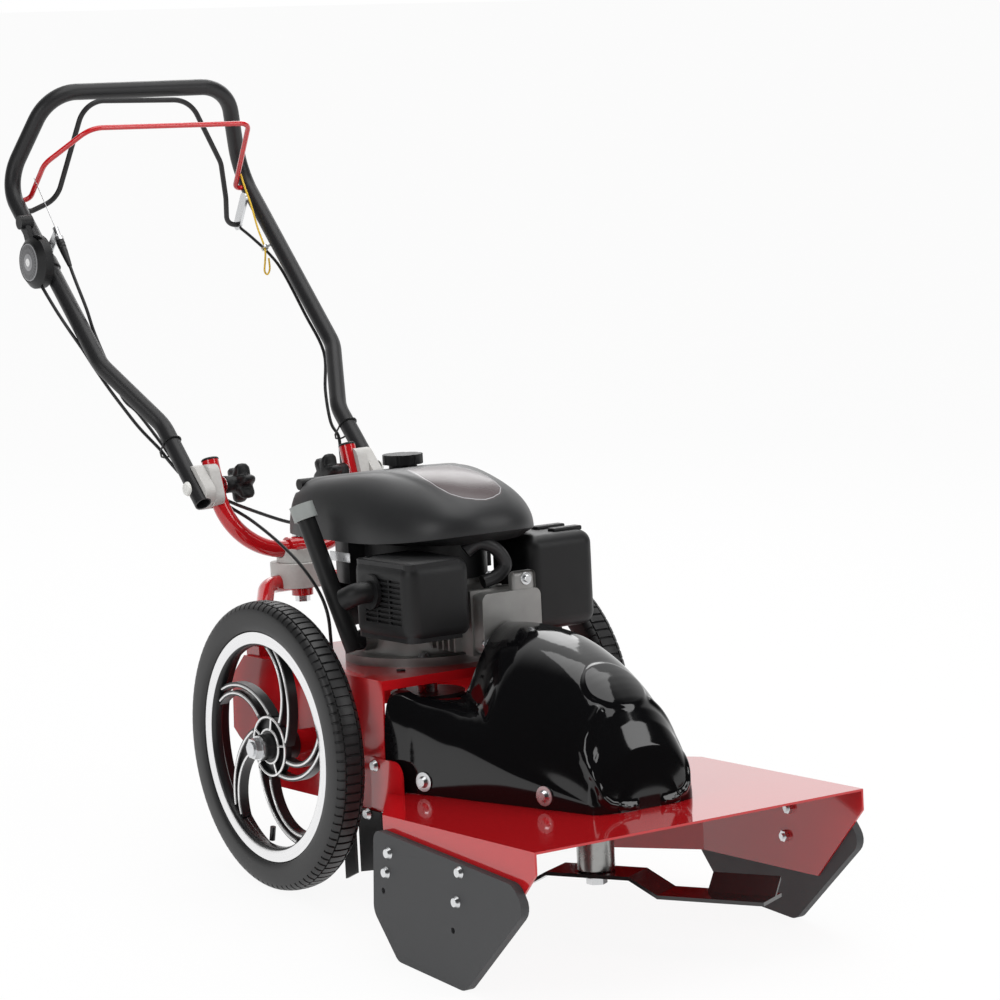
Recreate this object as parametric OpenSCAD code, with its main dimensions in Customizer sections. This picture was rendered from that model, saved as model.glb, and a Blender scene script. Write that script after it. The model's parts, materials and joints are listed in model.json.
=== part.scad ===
/* [Stance] */
// Diameter of the wheels over the tread
wheel_d = 400; // [390:1:410]
// Distance between the centre planes of the wheels
track_w = 447; // [444:1:460]
// Angle by which the chassis points its nose up
nose_up = 4.8; // [4.4:0.1:5.2]

/* [Wheels] */
// Width of the tyre
tyre_w = 46; // [40:1:48]
// Diameter of the polished rim ring
rim_d = 318; // [310:1:324]
// Width of the wheel hub
hub_w = 53; // [50:1:54]
// Diameter of the hub disc that the spokes start from
hub_disc_d = 84; // [76:1:92]
// Diameter of the axle
axle_d = 20; // [18:1:22]

/* [Chassis] */
// Width of the chassis over its side plates
chassis_w = 340; // [334:1:342]
// Length of the side plates
chassis_len = 400; // [396:1:402]
// Height of the side plates
chassis_h = 179; // [176:1:182]
// Height of the top plate above the axle
chassis_top = 102; // [100:1:104]
// Front end of the side plates ahead of the axle
chassis_front = 195; // [192:1:196]

/* [Deck] */
// Width of the mowing deck over its lips
deck_w = 524; // [520:1:540]
// Front edge of the deck ahead of the axle
deck_front = 661; // [655:1:675]
// Length of the deck's parallel sides
deck_side_len = 338; // [334:1:342]
// Depth of the axle's height below which the deck plate lies
deck_drop = 46.5; // [44:0.5:49]
// Depth of the deck's side lips
lip_h = 129.5; // [124:0.5:132]

/* [Skids] */
// Thickness of a skid plate
skid_t = 12; // [10:1:14]
// Height of a skid plate
skid_h = 163; // [158:1:168]
// Overall length of a skid plate
skid_len = 338; // [332:1:344]

/* [Cutter] */
// Spindle axis ahead of the axle
spindle_x = 426; // [422:1:430]
// Diameter of the spindle housing
spindle_d = 50; // [46:1:54]
// Length from tip to tip of the blade
blade_len = 500; // [480:1:502]
// Width of the blade
blade_w = 58; // [50:1:62]

/* [Engine] */
// Crankshaft axis ahead of the axle
crank_x = 45; // [43:1:47]
// Diameter of the mounting flange
flange_d = 224; // [216:1:230]
// Height of the engine's crankcase and fan housing over the chassis
housing_h = 170; // [166:1:174]
// Length of the top cover
cover_len = 390; // [380:1:394]
// Width of the top cover
cover_w = 240; // [232:1:242]
// Height of the top cover's crest over its rim
cover_h = 91; // [86:1:96]

/* [Hood] */
// Width of the hood at its rear
hood_w = 334; // [326:1:334]
// Nose of the hood ahead of the axle
hood_nose = 562; // [556:1:570]
// Height of the hood's crest over the deck
hood_h = 216; // [210:1:222]

/* [Handle] */
// Diameter of the handle tubes
tube_d = 25; // [24:0.5:26]
// Distance between the legs of the yoke
yoke_w = 236; // [230:1:240]
// Height of the yoke's legs
yoke_h = 143; // [140:1:148]
// Distance between the handlebar's lower ends
bar_low_w = 304; // [302:1:306]
// Greatest distance between the handlebar's legs
bar_w = 413.4; // [408:0.2:418]
// Length of the handlebar from its clamp to its upper corner
bar_len = 620.5; // [612:0.5:628]
// Slope of the handlebar's legs to the chassis
bar_slope = 46.1; // [44.5:0.1:47.5]
// Diameter of the bails' wire
bail_d = 8; // [7:0.5:8]

/* [Hidden] */

$fn = 48;

// Sizes that several pieces share
sheet = 3;
fit_gap = 0.05;
part_gap = 0.3;
overrun = 1;
axle_z = wheel_d / 2;
axle_r = axle_d / 2;
tube_r = tube_d / 2;
tube_wall = 2;
bail_r = bail_d / 2;
red = "#b5121b";
black = "#1d1d1f";
zinc = "#c9ccd0";
alloy = "#a8a8a6";
white = "#d9d9d6";

// Geometry helpers
function unit(v) = v / norm(v);
function between(range, share) = range[0] + (range[1] - range[0]) * share;
function span(range) = range[1] - range[0];
function turn_of(from, to) = let(d = to - from) d - 360 * round(d / 360);

// Points of one rounded corner of an outline, from edge to edge
function corner(before, at, after, r, steps) =
  let(u = unit(before - at), v = unit(after - at), half = acos(u * v) / 2,
    middle = at + unit(u + v) * r / sin(half),
    start = at + u * r / tan(half) - middle, stop = at + v * r / tan(half) - middle,
    first = atan2(start.y, start.x), sweep = turn_of(first, atan2(stop.y, stop.x)))
  [for (i = [0:steps]) middle + r * [cos(first + sweep * i / steps), sin(first + sweep * i / steps)]];

// An outline with each corner rounded to its own radius, where zero keeps it sharp
function rounded(points, radii, steps = 5) =
  let(n = len(points))
  [for (i = [0:n - 1]) each radii[i] == 0 ? [points[i]] :
    corner(points[(i + n - 1) % n], points[i], points[(i + 1) % n], radii[i], steps)];

// A rectangle about the origin with round corners
function round_box(w, h, r) =
  rounded([[-w / 2, -h / 2], [w / 2, -h / 2], [w / 2, h / 2], [-w / 2, h / 2]], [r, r, r, r]);

// Mirrors an outline in the X axis and closes it
function both_sides(points) =
  concat(points, [for (i = [len(points) - 1:-1:0]) [points[i].x, -points[i].y]]);

module around(angles, r) {
  for (a = angles) rotate([0, 0, a]) translate([r, 0, 0]) children();
}

module up(z) {
  translate([0, 0, z]) children();
}

// A cylinder from the origin back along the Y axis
module bar_y(r, h) {
  rotate([90, 0, 0]) cylinder(r = r, h = h);
}

// A plate whose outline lies in the XZ plane, from y back to y - t
module side_plate(outline, y, t) {
  translate([0, y, 0]) rotate([90, 0, 0]) linear_extrude(t) polygon(outline);
}

module at_both_sides() {
  children();
  mirror([0, 1, 0]) children();
}

// Stands a child's Z axis along the line from a to b
module along(a, b) {
  d = b - a;
  translate(a) rotate([0, acos(d.z / norm(d)), atan2(d.y, d.x)]) children();
}

module rod(a, b, r) {
  along(a, b) cylinder(r = r, h = norm(b - a));
}

module ring(r, hole_r) {
  difference() {
    circle(r);
    if (hole_r > 0) circle(hole_r);
  }
}

// Half the turn of a bent tube at one of its corners
function half_turn(points, i) =
  acos(unit(points[i] - points[i - 1]) * unit(points[i + 1] - points[i])) / 2;

// The bend at a corner, from one radius for all corners or a list of them
function bend_at(bend_r, i) = is_list(bend_r) ? bend_r[i] : bend_r;

// How much of a straight run a bend takes up
function bend_cut(points, i, bend_r) =
  i <= 0 || i >= len(points) - 1 ? 0 : bend_at(bend_r, i) * tan(half_turn(points, i));

// A tube through corner points, solid where hole_r is zero; each straight run laps its bends
module bent_tube(points, bend_r, r, hole_r = 0) {
  last = len(points) - 1;
  for (i = [0:last - 1]) {
    u = unit(points[i + 1] - points[i]);
    start = points[i] + u * (i == 0 ? 0 : bend_cut(points, i, bend_r) - lap);
    stop = points[i + 1] - u * (i + 1 == last ? 0 : bend_cut(points, i + 1, bend_r) - lap);
    along(start, stop) linear_extrude(norm(stop - start))
      ring(r + seam, hole_r > 0 ? hole_r - seam : 0);
  }
  for (i = [1:last - 1]) {
    u = unit(points[i] - points[i - 1]);
    n = unit(cross(u, points[i + 1] - points[i]));
    out = cross(u, n);
    middle = points[i] - u * bend_cut(points, i, bend_r) - out * bend_at(bend_r, i);
    multmatrix([[out.x, u.x, n.x, middle.x], [out.y, u.y, n.y, middle.y],
        [out.z, u.z, n.z, middle.z], [0, 0, 0, 1]])
      rotate_extrude(angle = 2 * half_turn(points, i)) translate([bend_at(bend_r, i), 0])
        ring(r, hole_r);
  }
}
seam = 0.03;
lap = 0.4;

// A closed skin over rings of points that each turn counterclockwise about the way along them
module skin(rings) {
  n = len(rings);
  m = len(rings[0]);
  polyhedron([for (loop = rings) each loop], concat([[for (k = [0:m - 1]) k]],
    [for (i = [0:n - 2], k = [0:m - 1]) let(a = i * m, b = a + m, j = (k + 1) % m)
      each [[b + j, a + j, a + k], [b + k, b + j, a + k]]],
    [[for (k = [m - 1:-1:0]) (n - 1) * m + k]]));
}

// A smooth run of points through a route, with a number of steps between its points
function smooth(points, steps) =
  let(n = len(points), p = function(i) points[max(0, min(n - 1, i))])
  concat([for (i = [0:n - 2], k = [0:steps - 1])
    let(t = k / steps, a = p(i - 1), b = p(i), c = p(i + 1), d = p(i + 2))
    0.5 * ((2 * b) + (c - a) * t + (2 * a - 5 * b + 4 * c - d) * t * t
      + (3 * b - a - 3 * c + d) * t * t * t)], [points[n - 1]]);

// A cable swept along a route as one faceted tube
module cable(route, r, steps = 3, sides = 8) {
  path = smooth(route, steps);
  n = len(path);
  skin([for (i = [0:n - 1])
    let(u = unit(path[min(n - 1, i + 1)] - path[max(0, i - 1)]),
      a = unit(cross(u, abs(u.y) < 0.9 ? [0, 1, 0] : [1, 0, 0])), b = cross(u, a))
    [for (k = [0:sides - 1]) path[i] + r * (a * cos(360 * k / sides) + b * sin(360 * k / sides))]]);
}

// A bolt along +Z whose head rests on the origin plane, with a nut on its far end
module bolt(r, grip, head_r, head_h, nut_h, tail) {
  up(-grip - tail) cylinder(r = r, h = grip + tail);
  cylinder(r1 = head_r, r2 = head_r * bolt_top_share, h = head_h);
  if (nut_h > 0) up(-grip - nut_h) cylinder(r = head_r, h = nut_h, $fn = 6);
}
bolt_top_share = 0.7;

// Frames of the machine: the ground, the tilted chassis, the leaning yoke and the sloping handlebar
module on_ground() {
  translate([-mid_x, 0, 0]) children();
}

module on_chassis() {
  on_ground() up(axle_z) rotate([0, -nose_up, 0]) children();
}

module on_yoke() {
  on_chassis() translate([swivel_x, 0, yoke_z]) rotate([0, -yoke_lean, 0]) children();
}

module on_handle() {
  on_yoke() up(clamp_z) rotate([0, bar_slope + yoke_lean, 0]) children();
}

function chassis_x(x, z) = x * cos(nose_up) - z * sin(nose_up);
function handle_point(p) =
  let(x = swivel_x - clamp_z * sin(yoke_lean) + p.x * cos(bar_slope) + p.z * sin(bar_slope),
    z = yoke_z + clamp_z * cos(yoke_lean) - p.x * sin(bar_slope) + p.z * cos(bar_slope))
  [x, p.y, z];

// Chassis: side plates, top plate, cross plates and axle tube, welded
chassis_half = chassis_w / 2;
chassis_rear = chassis_front - chassis_len;
chassis_low = chassis_top - chassis_h;
chassis_shares = [[1, 1], [0.1, 1], [0.01, 0.816], [0, 0.397], [0.0375, 0.33], [0.3075, 0],
  [0.7, 0], [0.7, -0.12], [0.94, -0.12], [0.94, 0], [0.983, 0]];
chassis_lip = 13;
axle_tube_r = 16.5;
axle_tube_half = track_w / 2 - hub_w / 2 - part_gap;
crank_hole_r = 62;
function chassis_at(share) = [chassis_rear + share.x * chassis_len, chassis_low + share.y * chassis_h];

module chassis_frame() {
  rear_top = chassis_at(chassis_shares[1]);
  rear_mid = chassis_at(chassis_shares[2]);
  rear_low = chassis_at(chassis_shares[3]);
  color(red) on_chassis() difference() {
    union() {
      at_both_sides()
        side_plate([for (s = chassis_shares) chassis_at(s)], chassis_half, sheet);
      translate([rear_top.x, -chassis_half, chassis_top - sheet])
        cube([chassis_front - rear_top.x, chassis_w, sheet]);
      translate([chassis_front - sheet, -chassis_half, chassis_top - chassis_lip])
        cube([sheet, chassis_w, chassis_lip]);
      translate([rear_mid.x, -chassis_half, rear_low.y])
        cube([sheet, chassis_w, rear_mid.y - rear_low.y]);
      translate([0, axle_tube_half, 0]) bar_y(axle_tube_r, 2 * axle_tube_half);
    }
    translate([0, axle_tube_half + overrun, 0]) bar_y(axle_r, 2 * (axle_tube_half + overrun));
    translate([crank_x, 0, chassis_top - sheet - overrun])
      cylinder(r = crank_hole_r, h = sheet + 2 * overrun);
    translate([crank_x, 0, chassis_top - sheet - overrun]) around(flange_bolt_angles, flange_bolt_pcr)
        cylinder(r = engine_bolt_r, h = sheet + 2 * overrun);
    translate([grommet_x, grommet_y, chassis_top - sheet - overrun])
      cylinder(r = grommet_r, h = sheet + 2 * overrun);
    at_both_sides() for (p = [[ear_bolt_x, ear_bolt_z], [flap_bolt_x, flap_bolt_z]])
      translate([p.x, chassis_half + overrun, p.y]) bar_y(body_bolt_r, sheet + 2 * overrun);
    translate([idler_pivot.x, idler_pivot.y, chassis_top - sheet - overrun])
      cylinder(r = idler_stud_r, h = sheet + 2 * overrun);
  }
}

// Axle, its end nuts and the plain bushes that the wheels turn on
axle_tail = 3;
nut_h = 9;
nut_r = 15;
washer_t = 3;
axle_end = track_w / 2 + hub_w / 2 + nut_h + washer_t + axle_tail;
washer_r = 17;
bush_r = 15;
bush_len = 20;

module axle() {
  color(zinc) on_ground() translate([0, axle_end, axle_z]) bar_y(axle_r, 2 * axle_end);
}

module axle_nuts() {
  color(zinc) on_ground() up(axle_z) at_both_sides()
    translate([0, track_w / 2 + hub_w / 2 + part_gap, 0]) rotate([-90, 0, 0]) difference() {
      union() {
        cylinder(r = washer_r, h = washer_t);
        up(washer_t) cylinder(r = nut_r, h = nut_h, $fn = 6);
      }
      up(-overrun) cylinder(r = axle_r, h = washer_t + nut_h + 2 * overrun);
    }
}

module wheel_bushes() {
  color(zinc) on_ground() up(axle_z) at_both_sides() for (end = [0, 1])
    translate([0, track_w / 2 - hub_w / 2 + end * (hub_w - bush_len), 0]) rotate([-90, 0, 0])
      linear_extrude(bush_len) ring(bush_r, axle_r);
}

// Cast wheel: rim, hub and five pairs of swept spokes
rim_r = rim_d / 2;
rim_edge_w = 6;
rim_lip_h = 16;
rim_well_w = 30;
rim_bar_r = rim_r - rim_lip_h;
rim_wall = 12;
rim_inner_r = rim_bar_r - rim_wall;
rim_w = 38;
hub_r = 22;
hub_disc_r = hub_disc_d / 2;
hub_disc_t = 10;
hub_web_t = 4;
window_edge = 5;
window_r = hub_disc_r - window_edge;
spoke_count = 5;
spoke_w = 7;
spoke_t = 22;
spoke_sag = 22;
lead_angle = 35;
trail_angle = 90;
pair_angle = 3;
window_angle = 58;
valve_r = 4;
valve_len = 18;

function polar(r, a) = r * [cos(a), sin(a)];

// Circle through two points with its bulge to the right of the way from a to b
function bulge_radius(a, b, sag) = (norm(b - a) ^ 2 / 4 + sag ^ 2) / (2 * sag);
function bulge_middle(a, b, sag) =
  let(u = unit(b - a)) (a + b) / 2 + (sag - bulge_radius(a, b, sag)) * [u.y, -u.x];

module spoke(hub_angle, rim_angle) {
  a = polar(hub_disc_r - window_edge, hub_angle);
  b = polar(rim_inner_r + spoke_w / 2, rim_angle);
  r = bulge_radius(a, b, spoke_sag);
  intersection() {
    translate(bulge_middle(a, b, spoke_sag)) ring(r + spoke_w / 2, r - spoke_w / 2);
    ring(rim_inner_r + spoke_w / 2, hub_disc_r - spoke_w / 2);
    u = unit(b - a) * rim_r;
    side = [u.y, -u.x];
    polygon([a - side * spoke_w / rim_r, b - side * spoke_w / rim_r, b + u + side, a - u + side]);
  }
}

// The wheel about the Z axis, with its outer face up and its centre plane at zero
module wheel_casting() {
  half_rim = rim_w / 2;
  difference() {
    union() {
      rotate_extrude($fn = 96) polygon([[rim_inner_r, -half_rim], [rim_r, -half_rim],
        [rim_r, -half_rim + rim_edge_w], [rim_bar_r, -rim_well_w / 2 + rim_edge_w],
        [rim_bar_r, rim_well_w / 2 - rim_edge_w], [rim_r, half_rim - rim_edge_w],
        [rim_r, half_rim], [rim_r - rim_lip_h, half_rim], [rim_inner_r, half_rim - rim_lip_h]]);
      up(-hub_w / 2) cylinder(r = hub_r, h = hub_w);
      up(spoke_t / 2 - hub_disc_t) cylinder(r = hub_disc_r, h = hub_disc_t);
      up(-spoke_t / 2) linear_extrude(spoke_t) for (k = [0:spoke_count - 1])
        rotate(90 + k * 360 / spoke_count) {
          spoke(-lead_angle, 0);
          spoke(-trail_angle, -pair_angle);
        }
    }
    up(-hub_w / 2 - overrun)
      cylinder(r = bush_r + fit_gap, h = hub_w + 2 * overrun);
    for (k = [0:spoke_count - 1]) rotate([0, 0, 90 + k * 360 / spoke_count])
      up(spoke_t / 2 - hub_disc_t + hub_web_t)
        rotate_extrude(angle = window_angle) translate([hub_r + overrun, 0])
          square([window_r - hub_r - overrun, hub_disc_t]);
  }
  rotate([0, 0, valve_angle]) translate([rim_inner_r - valve_len + overrun, 0, 0]) rotate([0, 90, 0])
    cylinder(r = valve_r, h = valve_len);
}
valve_angle = 262;

module at_wheel(side) {
  on_ground() translate([0, side * track_w / 2, axle_z]) mirror([0, side > 0 ? 1 : 0, 0])
    rotate([90, 0, 0]) children();
}

module wheel_right() {
  color(black) at_wheel(-1) wheel_casting();
}

module wheel_left() {
  color(black) at_wheel(1) wheel_casting();
}

// Tyre seated round the rim, with a flat crown and bulging side walls
tyre_r = wheel_d / 2;
crown_share = 0.56;
shoulder_share = 0.94;
shoulder_drop = 9;
wall_steps = 8;

module tyre_ring() {
  half = tyre_w / 2;
  seat_half = rim_w / 2 - rim_edge_w;
  well_half = rim_well_w / 2 - rim_edge_w;
  wall = [for (i = [0:wall_steps]) let(a = 180 * i / wall_steps)
    [rim_r + (tyre_r - shoulder_drop - rim_r) * i / wall_steps,
      half * (shoulder_share + (1 - shoulder_share) * sin(a))]];
  side = concat([[rim_bar_r + fit_gap, 0], [rim_bar_r + fit_gap, well_half],
    [rim_r + fit_gap, seat_half], [rim_r + fit_gap, rim_w / 2]], wall,
    [[tyre_r - shoulder_drop / 3, half * (crown_share + shoulder_share) / 2],
      [tyre_r, half * crown_share], [tyre_r, 0]]);
  lower = [for (i = [len(side) - 2:-1:1]) [side[i].x, -side[i].y]];
  rotate_extrude($fn = 128) polygon(concat(side, lower));
}

module tyre_right() {
  color(black) at_wheel(-1) tyre_ring();
}

module tyre_left() {
  color(black) at_wheel(1) tyre_ring();
}

// Hoop that carries the handle, from the rear of the side plates up to the swivel
swivel_x = -276;
hoop_z = 180;
hoop_bend_r = 36;
hoop_half = 60;
hoop_foot_z = chassis_top + tube_r + part_gap;
hoop_foot_x = -150;
foot_inset = 6;
hoop_foot_y = chassis_half - tube_r - foot_inset;
foot_pad_h = 14;
boss_r = 16;
boss_h = 8;

module handle_hoop() {
  foot = [hoop_foot_x, hoop_foot_y, hoop_foot_z];
  top = [swivel_x, hoop_half, hoop_z];
  run = [for (p = [foot, top]) [p.x, -p.y, p.z]];
  color(red) on_chassis() difference() {
    union() {
      bent_tube([run[0], run[1], top, foot], hoop_bend_r, tube_r, tube_r - tube_wall);
      at_both_sides() hoop_foot(foot);
      translate([swivel_x, 0, hoop_z - tube_r - boss_h]) cylinder(r = boss_r, h = boss_h + tube_wall);
    }
    translate([swivel_x, 0, hoop_z - tube_r - boss_h - overrun])
      cylinder(r = swivel_bolt_r, h = 2 * tube_r + boss_h + 2 * overrun);
  }
}

// Pad that closes the tube's end and stands on the top plate
foot_pad_len = 34;

module hoop_foot(foot) {
  translate([foot.x - foot_pad_len / 2, foot.y - tube_r, chassis_top])
    cube([foot_pad_len, 2 * tube_r, foot_pad_h]);
}

// Swivel: base on the hoop, top under the yoke, and the bolt that holds both
swivel_bolt_r = 6;
swivel_split_z = 210;
swivel_base_w = 80;
swivel_base_len = 78;
swivel_top_w = 70;
swivel_top_len = 56;
block_corner_r = 24;
strap_w = 44;
strap_t = 4;
strap_len = 54;
yoke_z = 230;
swivel_head_h = 8;
swivel_head_r = 11;

module tube_groove(z) {
  translate([swivel_x, swivel_base_w, z]) bar_y(tube_r + fit_gap, 2 * swivel_base_w);
}

module swivel_base() {
  low = hoop_z - tube_r * groove_share;
  color(white) on_chassis() difference() {
    translate([swivel_x, 0, low]) linear_extrude(swivel_split_z - part_gap - low)
      polygon(round_box(swivel_base_len, swivel_base_w, block_corner_r));
    tube_groove(hoop_z);
    translate([swivel_x - swivel_base_len, -swivel_base_w, low - overrun])
      cube([swivel_base_len + tube_r, 2 * swivel_base_w, tube_r * groove_share + overrun]);
    translate([swivel_x, 0, low]) cylinder(r = swivel_bolt_r, h = swivel_split_z - low);
  }
}
groove_share = 0.5;

module swivel_top() {
  color(white) on_chassis() difference() {
    translate([swivel_x, 0, swivel_split_z]) linear_extrude(yoke_z - swivel_split_z)
      polygon(round_box(swivel_top_len, swivel_top_w, block_corner_r));
    tube_groove(yoke_z);
    translate([swivel_x, 0, swivel_split_z - overrun])
      cylinder(r = swivel_bolt_r + fit_gap, h = yoke_z - swivel_split_z);
  }
}

module swivel_bolt() {
  low = hoop_z - tube_r - boss_h - nut_h - part_gap;
  color(zinc) on_chassis() translate([swivel_x, 0, 0]) {
    up(low) cylinder(r = swivel_bolt_r, h = yoke_z + tube_r + strap_t + part_gap - low);
    up(low) cylinder(r = swivel_head_r, h = nut_h, $fn = 6);
    up(yoke_z + tube_r + strap_t + part_gap)
      cylinder(r = swivel_head_r, h = swivel_head_h, $fn = 6);
  }
}

// Yoke: a leaning U of tube with a strap over its foot, on the swivel
yoke_lean = 18;
yoke_half = yoke_w / 2;
yoke_bend_r = 95;
clamp_z = 105;

// A saddle over the tube with a foot before and behind it
module yoke_strap() {
  inner = tube_r - tube_wall / 2;
  translate([swivel_x, strap_w / 2, yoke_z]) rotate([90, 0, 0]) linear_extrude(strap_w) {
    intersection() {
      ring(tube_r + strap_t, inner);
      translate([-strap_len, 0]) square([2 * strap_len, strap_len]);
    }
    for (side = [0, 1]) mirror([side, 0])
      translate([inner, 0]) square([strap_len / 2 - inner, strap_t]);
  }
}

module yoke() {
  color(red) difference() {
    union() {
      on_yoke() bent_tube([[0, -yoke_half, yoke_h], [0, -yoke_half, 0], [0, yoke_half, 0],
        [0, yoke_half, yoke_h]], yoke_bend_r, tube_r, tube_r - tube_wall);
      on_chassis() yoke_strap();
    }
    on_chassis() translate([swivel_x, 0, swivel_split_z])
      cylinder(r = swivel_bolt_r + fit_gap, h = 2 * yoke_z);
    on_yoke() clamp_hole(clamp_bolt_r + fit_gap);
  }
}

// Clamp between yoke and handlebar: two toothed blocks a side, a carriage bolt and a star knob
clamp_bolt_r = 4;
bar_low_half = bar_low_w / 2;
clamp_split = (yoke_half + bar_low_half) / 2;
clamp_h = 62;
clamp_w = 44;
clamp_corner_r = 14;
bolt_head_r = 9;
bolt_head_h = 4;
knob_gap = 1;
knob_hub_r = 13;
knob_hub_h = 18;
knob_star_r = 22;
knob_lobe_r = 9;
knob_star_h = 24;
knob_lobes = 6;

module clamp_hole(r) {
  translate([0, bar_w, clamp_z]) bar_y(r, 2 * bar_w);
}

module clamp_block(near, far, tube_y) {
  difference() {
    translate([0, far, 0]) rotate([90, 0, 0]) linear_extrude(far - near)
      polygon(round_box(clamp_w, clamp_h, clamp_corner_r));
    translate([0, tube_y, -clamp_h]) cylinder(r = tube_r + fit_gap, h = 2 * clamp_h);
    translate([0, far + overrun, 0]) bar_y(clamp_bolt_r + fit_gap, far - near + 2 * overrun);
  }
}

module clamp_inner() {
  color(white) on_yoke() up(clamp_z) at_both_sides()
    clamp_block(yoke_half, clamp_split - part_gap / 2, yoke_half);
}

module clamp_outer() {
  color(white) on_handle() at_both_sides() rotate([0, 90, 0])
    clamp_block(clamp_split + part_gap / 2, bar_low_half, bar_low_half);
}

module clamp_bolts() {
  length = bar_low_half + 2 * tube_r + fit_gap - yoke_half + knob_gap + knob_hub_h + knob_star_h / 2;
  color(zinc) on_handle() at_both_sides() translate([0, bar_low_half + tube_r + fit_gap, 0])
    rotate([-90, 0, 0]) bolt(clamp_bolt_r, 0, bolt_head_r, bolt_head_h, 0, length);
}

module star_knob() {
  difference() {
    union() {
      cylinder(r = knob_hub_r, h = knob_hub_h);
      up(knob_hub_h) linear_extrude(knob_star_h) {
        circle(knob_star_r);
        for (k = [0:knob_lobes - 1]) rotate(k * 360 / knob_lobes)
          translate([knob_star_r, 0]) circle(knob_lobe_r);
      }
    }
    up(-overrun)
      cylinder(r = clamp_bolt_r + fit_gap, h = knob_hub_h + knob_star_h / 2 + overrun);
  }
}

module at_knob() {
  translate([0, yoke_half - tube_r - knob_gap, clamp_z]) rotate([90, 0, 0]) star_knob();
}

module knob_left() {
  color(black) on_yoke() at_knob();
}

module knob_right() {
  color(black) on_yoke() mirror([0, 1, 0]) at_knob();
}

// Handlebar: one bent tube with drilled bail pivots, in a frame whose X axis runs down the legs
bar_half = bar_w / 2;
bar_bend_r = 65;
bar_end = 30;
bar_wide_half = 202.3;
bar_shares = [0.196, 0.398];
crossbar_half = 156.2;
crossbar_rise = 137;
crossbar_back = 55;
bail_x = -585;
brake_x = -562;
pivot_depth = 7;
function bar_side(s) = [[bar_end, s * bar_low_half, 0], [-bar_shares[0] * bar_len, s * bar_low_half, 0],
  [-bar_shares[1] * bar_len, s * bar_wide_half, 0], [-bar_len, s * bar_half, 0],
  [-bar_len - crossbar_back, s * crossbar_half, crossbar_rise]];
bar_points = bar_side(1);
function leg_y(x) = let(a = bar_points[2], b = bar_points[3])
  a.y + (b.y - a.y) * (x - a.x) / (b.x - a.x);

module handlebar() {
  far = bar_side(-1);
  color(black) on_handle() difference() {
    bent_tube(concat(bar_points, [for (i = [4:-1:0]) far[i]]), bar_bend_r, tube_r, tube_r - tube_wall);
    for (x = [bail_x, brake_x]) translate([x, leg_y(x), 0]) bar_y(bail_r + part_gap, 2 * leg_y(x));
    translate([0, bar_half, 0]) bar_y(clamp_bolt_r + fit_gap, bar_w);
  }
}

// Bails: the red one that engages the drive and the black one that stops the engine
drive_knee_z = 77.5;
drive_near = [127, 150];
drive_far = [152, 145];
foot_bend_r = 12;
drive_radii = [0, foot_bend_r, 36, 40, 18, foot_bend_r, 0];

module drive_bail() {
  in_y = leg_y(bail_x) - tube_r + pivot_depth;
  foot_y = leg_y(bail_x) - tube_r - foot_bend_r - part_gap;
  route = [[-in_y, 0], [-foot_y, 0], [-foot_y, drive_knee_z], [-drive_near[0], drive_near[1]],
    drive_far, [foot_y, 0], [in_y, 0]];
  color(red) on_handle() bent_tube([for (p = route) [bail_x, p.x, p.y]], drive_radii, bail_r);
}

// Offsets of the black bail's corners from its pivot in the right leg
brake_route = [[0, -187, 0], [-8.5, -145.4, 14.4], [-85.5, -109, 145], [-83, 74.3, 141],
  [-30.4, 140, 51.5], [-1.2, 154.5, 2]];
brake_radii = [0, 8, 40, 40, 55, 40, 30, 22, 0];
clip_len = 47.8;
clip_tilt = 15.8;
clip_t = 4;
clip_w = 18;
clip_y = 190;
clip_turn = 22;
clip_x = brake_x + clip_len * sin(clip_tilt);
clip_z = -clip_len * cos(clip_tilt);

module brake_bail() {
  in_y = -leg_y(brake_x) + tube_r - pivot_depth;
  route = [for (p = brake_route) [brake_x + p.x, p.y, p.z]];
  color(black) on_handle() bent_tube(concat([[brake_x, in_y, 0]], route,
    [[clip_x, clip_y - clip_turn, clip_z], [clip_x, clip_y + clip_t, clip_z]]), brake_radii, bail_r);
}

// Clip on the left leg that carries the black bail's far end
module bail_clip() {
  wall_y = leg_y(brake_x) - tube_r;
  color(zinc) on_handle() difference() {
    union() {
      translate([brake_x, clip_y, 0]) rotate([90, 0, 0]) linear_extrude(clip_t) rotate(clip_tilt) {
        translate([-clip_w / 2, -clip_len]) square([clip_w, clip_len]);
        translate([0, -clip_len]) circle(clip_w / 2);
        circle(clip_w / 2);
      }
      translate([brake_x, wall_y + pivot_depth, 0]) bar_y(bail_r, wall_y + pivot_depth - clip_y + clip_t / 2);
    }
    translate([clip_x, clip_y + overrun, clip_z]) bar_y(bail_r + part_gap, clip_t + 2 * overrun);
  }
}

// Mowing deck: a folded plate with side lips, rear ears and tabs that hold the hood
deck_half = deck_w / 2;
deck_z = -deck_drop;
deck_gap = 1;
deck_rear = chassis_front + deck_gap;
deck_corner = deck_front - deck_side_len;
lip_front_h = 28.5;
lip_slant = 95;
ear_h = 43;
ear_len = 40;
ear_corner_r = 20;
ear_back = 36;
ear_drop = 26;
ear_bolt_inset = 24;
ear_bolt_x = chassis_front - ear_bolt_inset;
ear_bolt_rise = 32;
ear_bolt_z = deck_z + ear_bolt_rise;
flap_bolt_inset = 47;
flap_bolt_x = chassis_front - flap_bolt_inset;
flap_bolt_drop = 6;
flap_bolt_z = chassis_low - flap_bolt_drop;
body_bolt_r = 4;
body_head_r = 8;
body_head_h = 5;
body_nut_h = 6;
body_tail = 9;
tab_w = 24;
tab_h = 27;
tab_set = 1.5;

function deck_side() = [[deck_front, deck_half], [deck_corner, deck_half], [deck_rear, chassis_half]];

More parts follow.
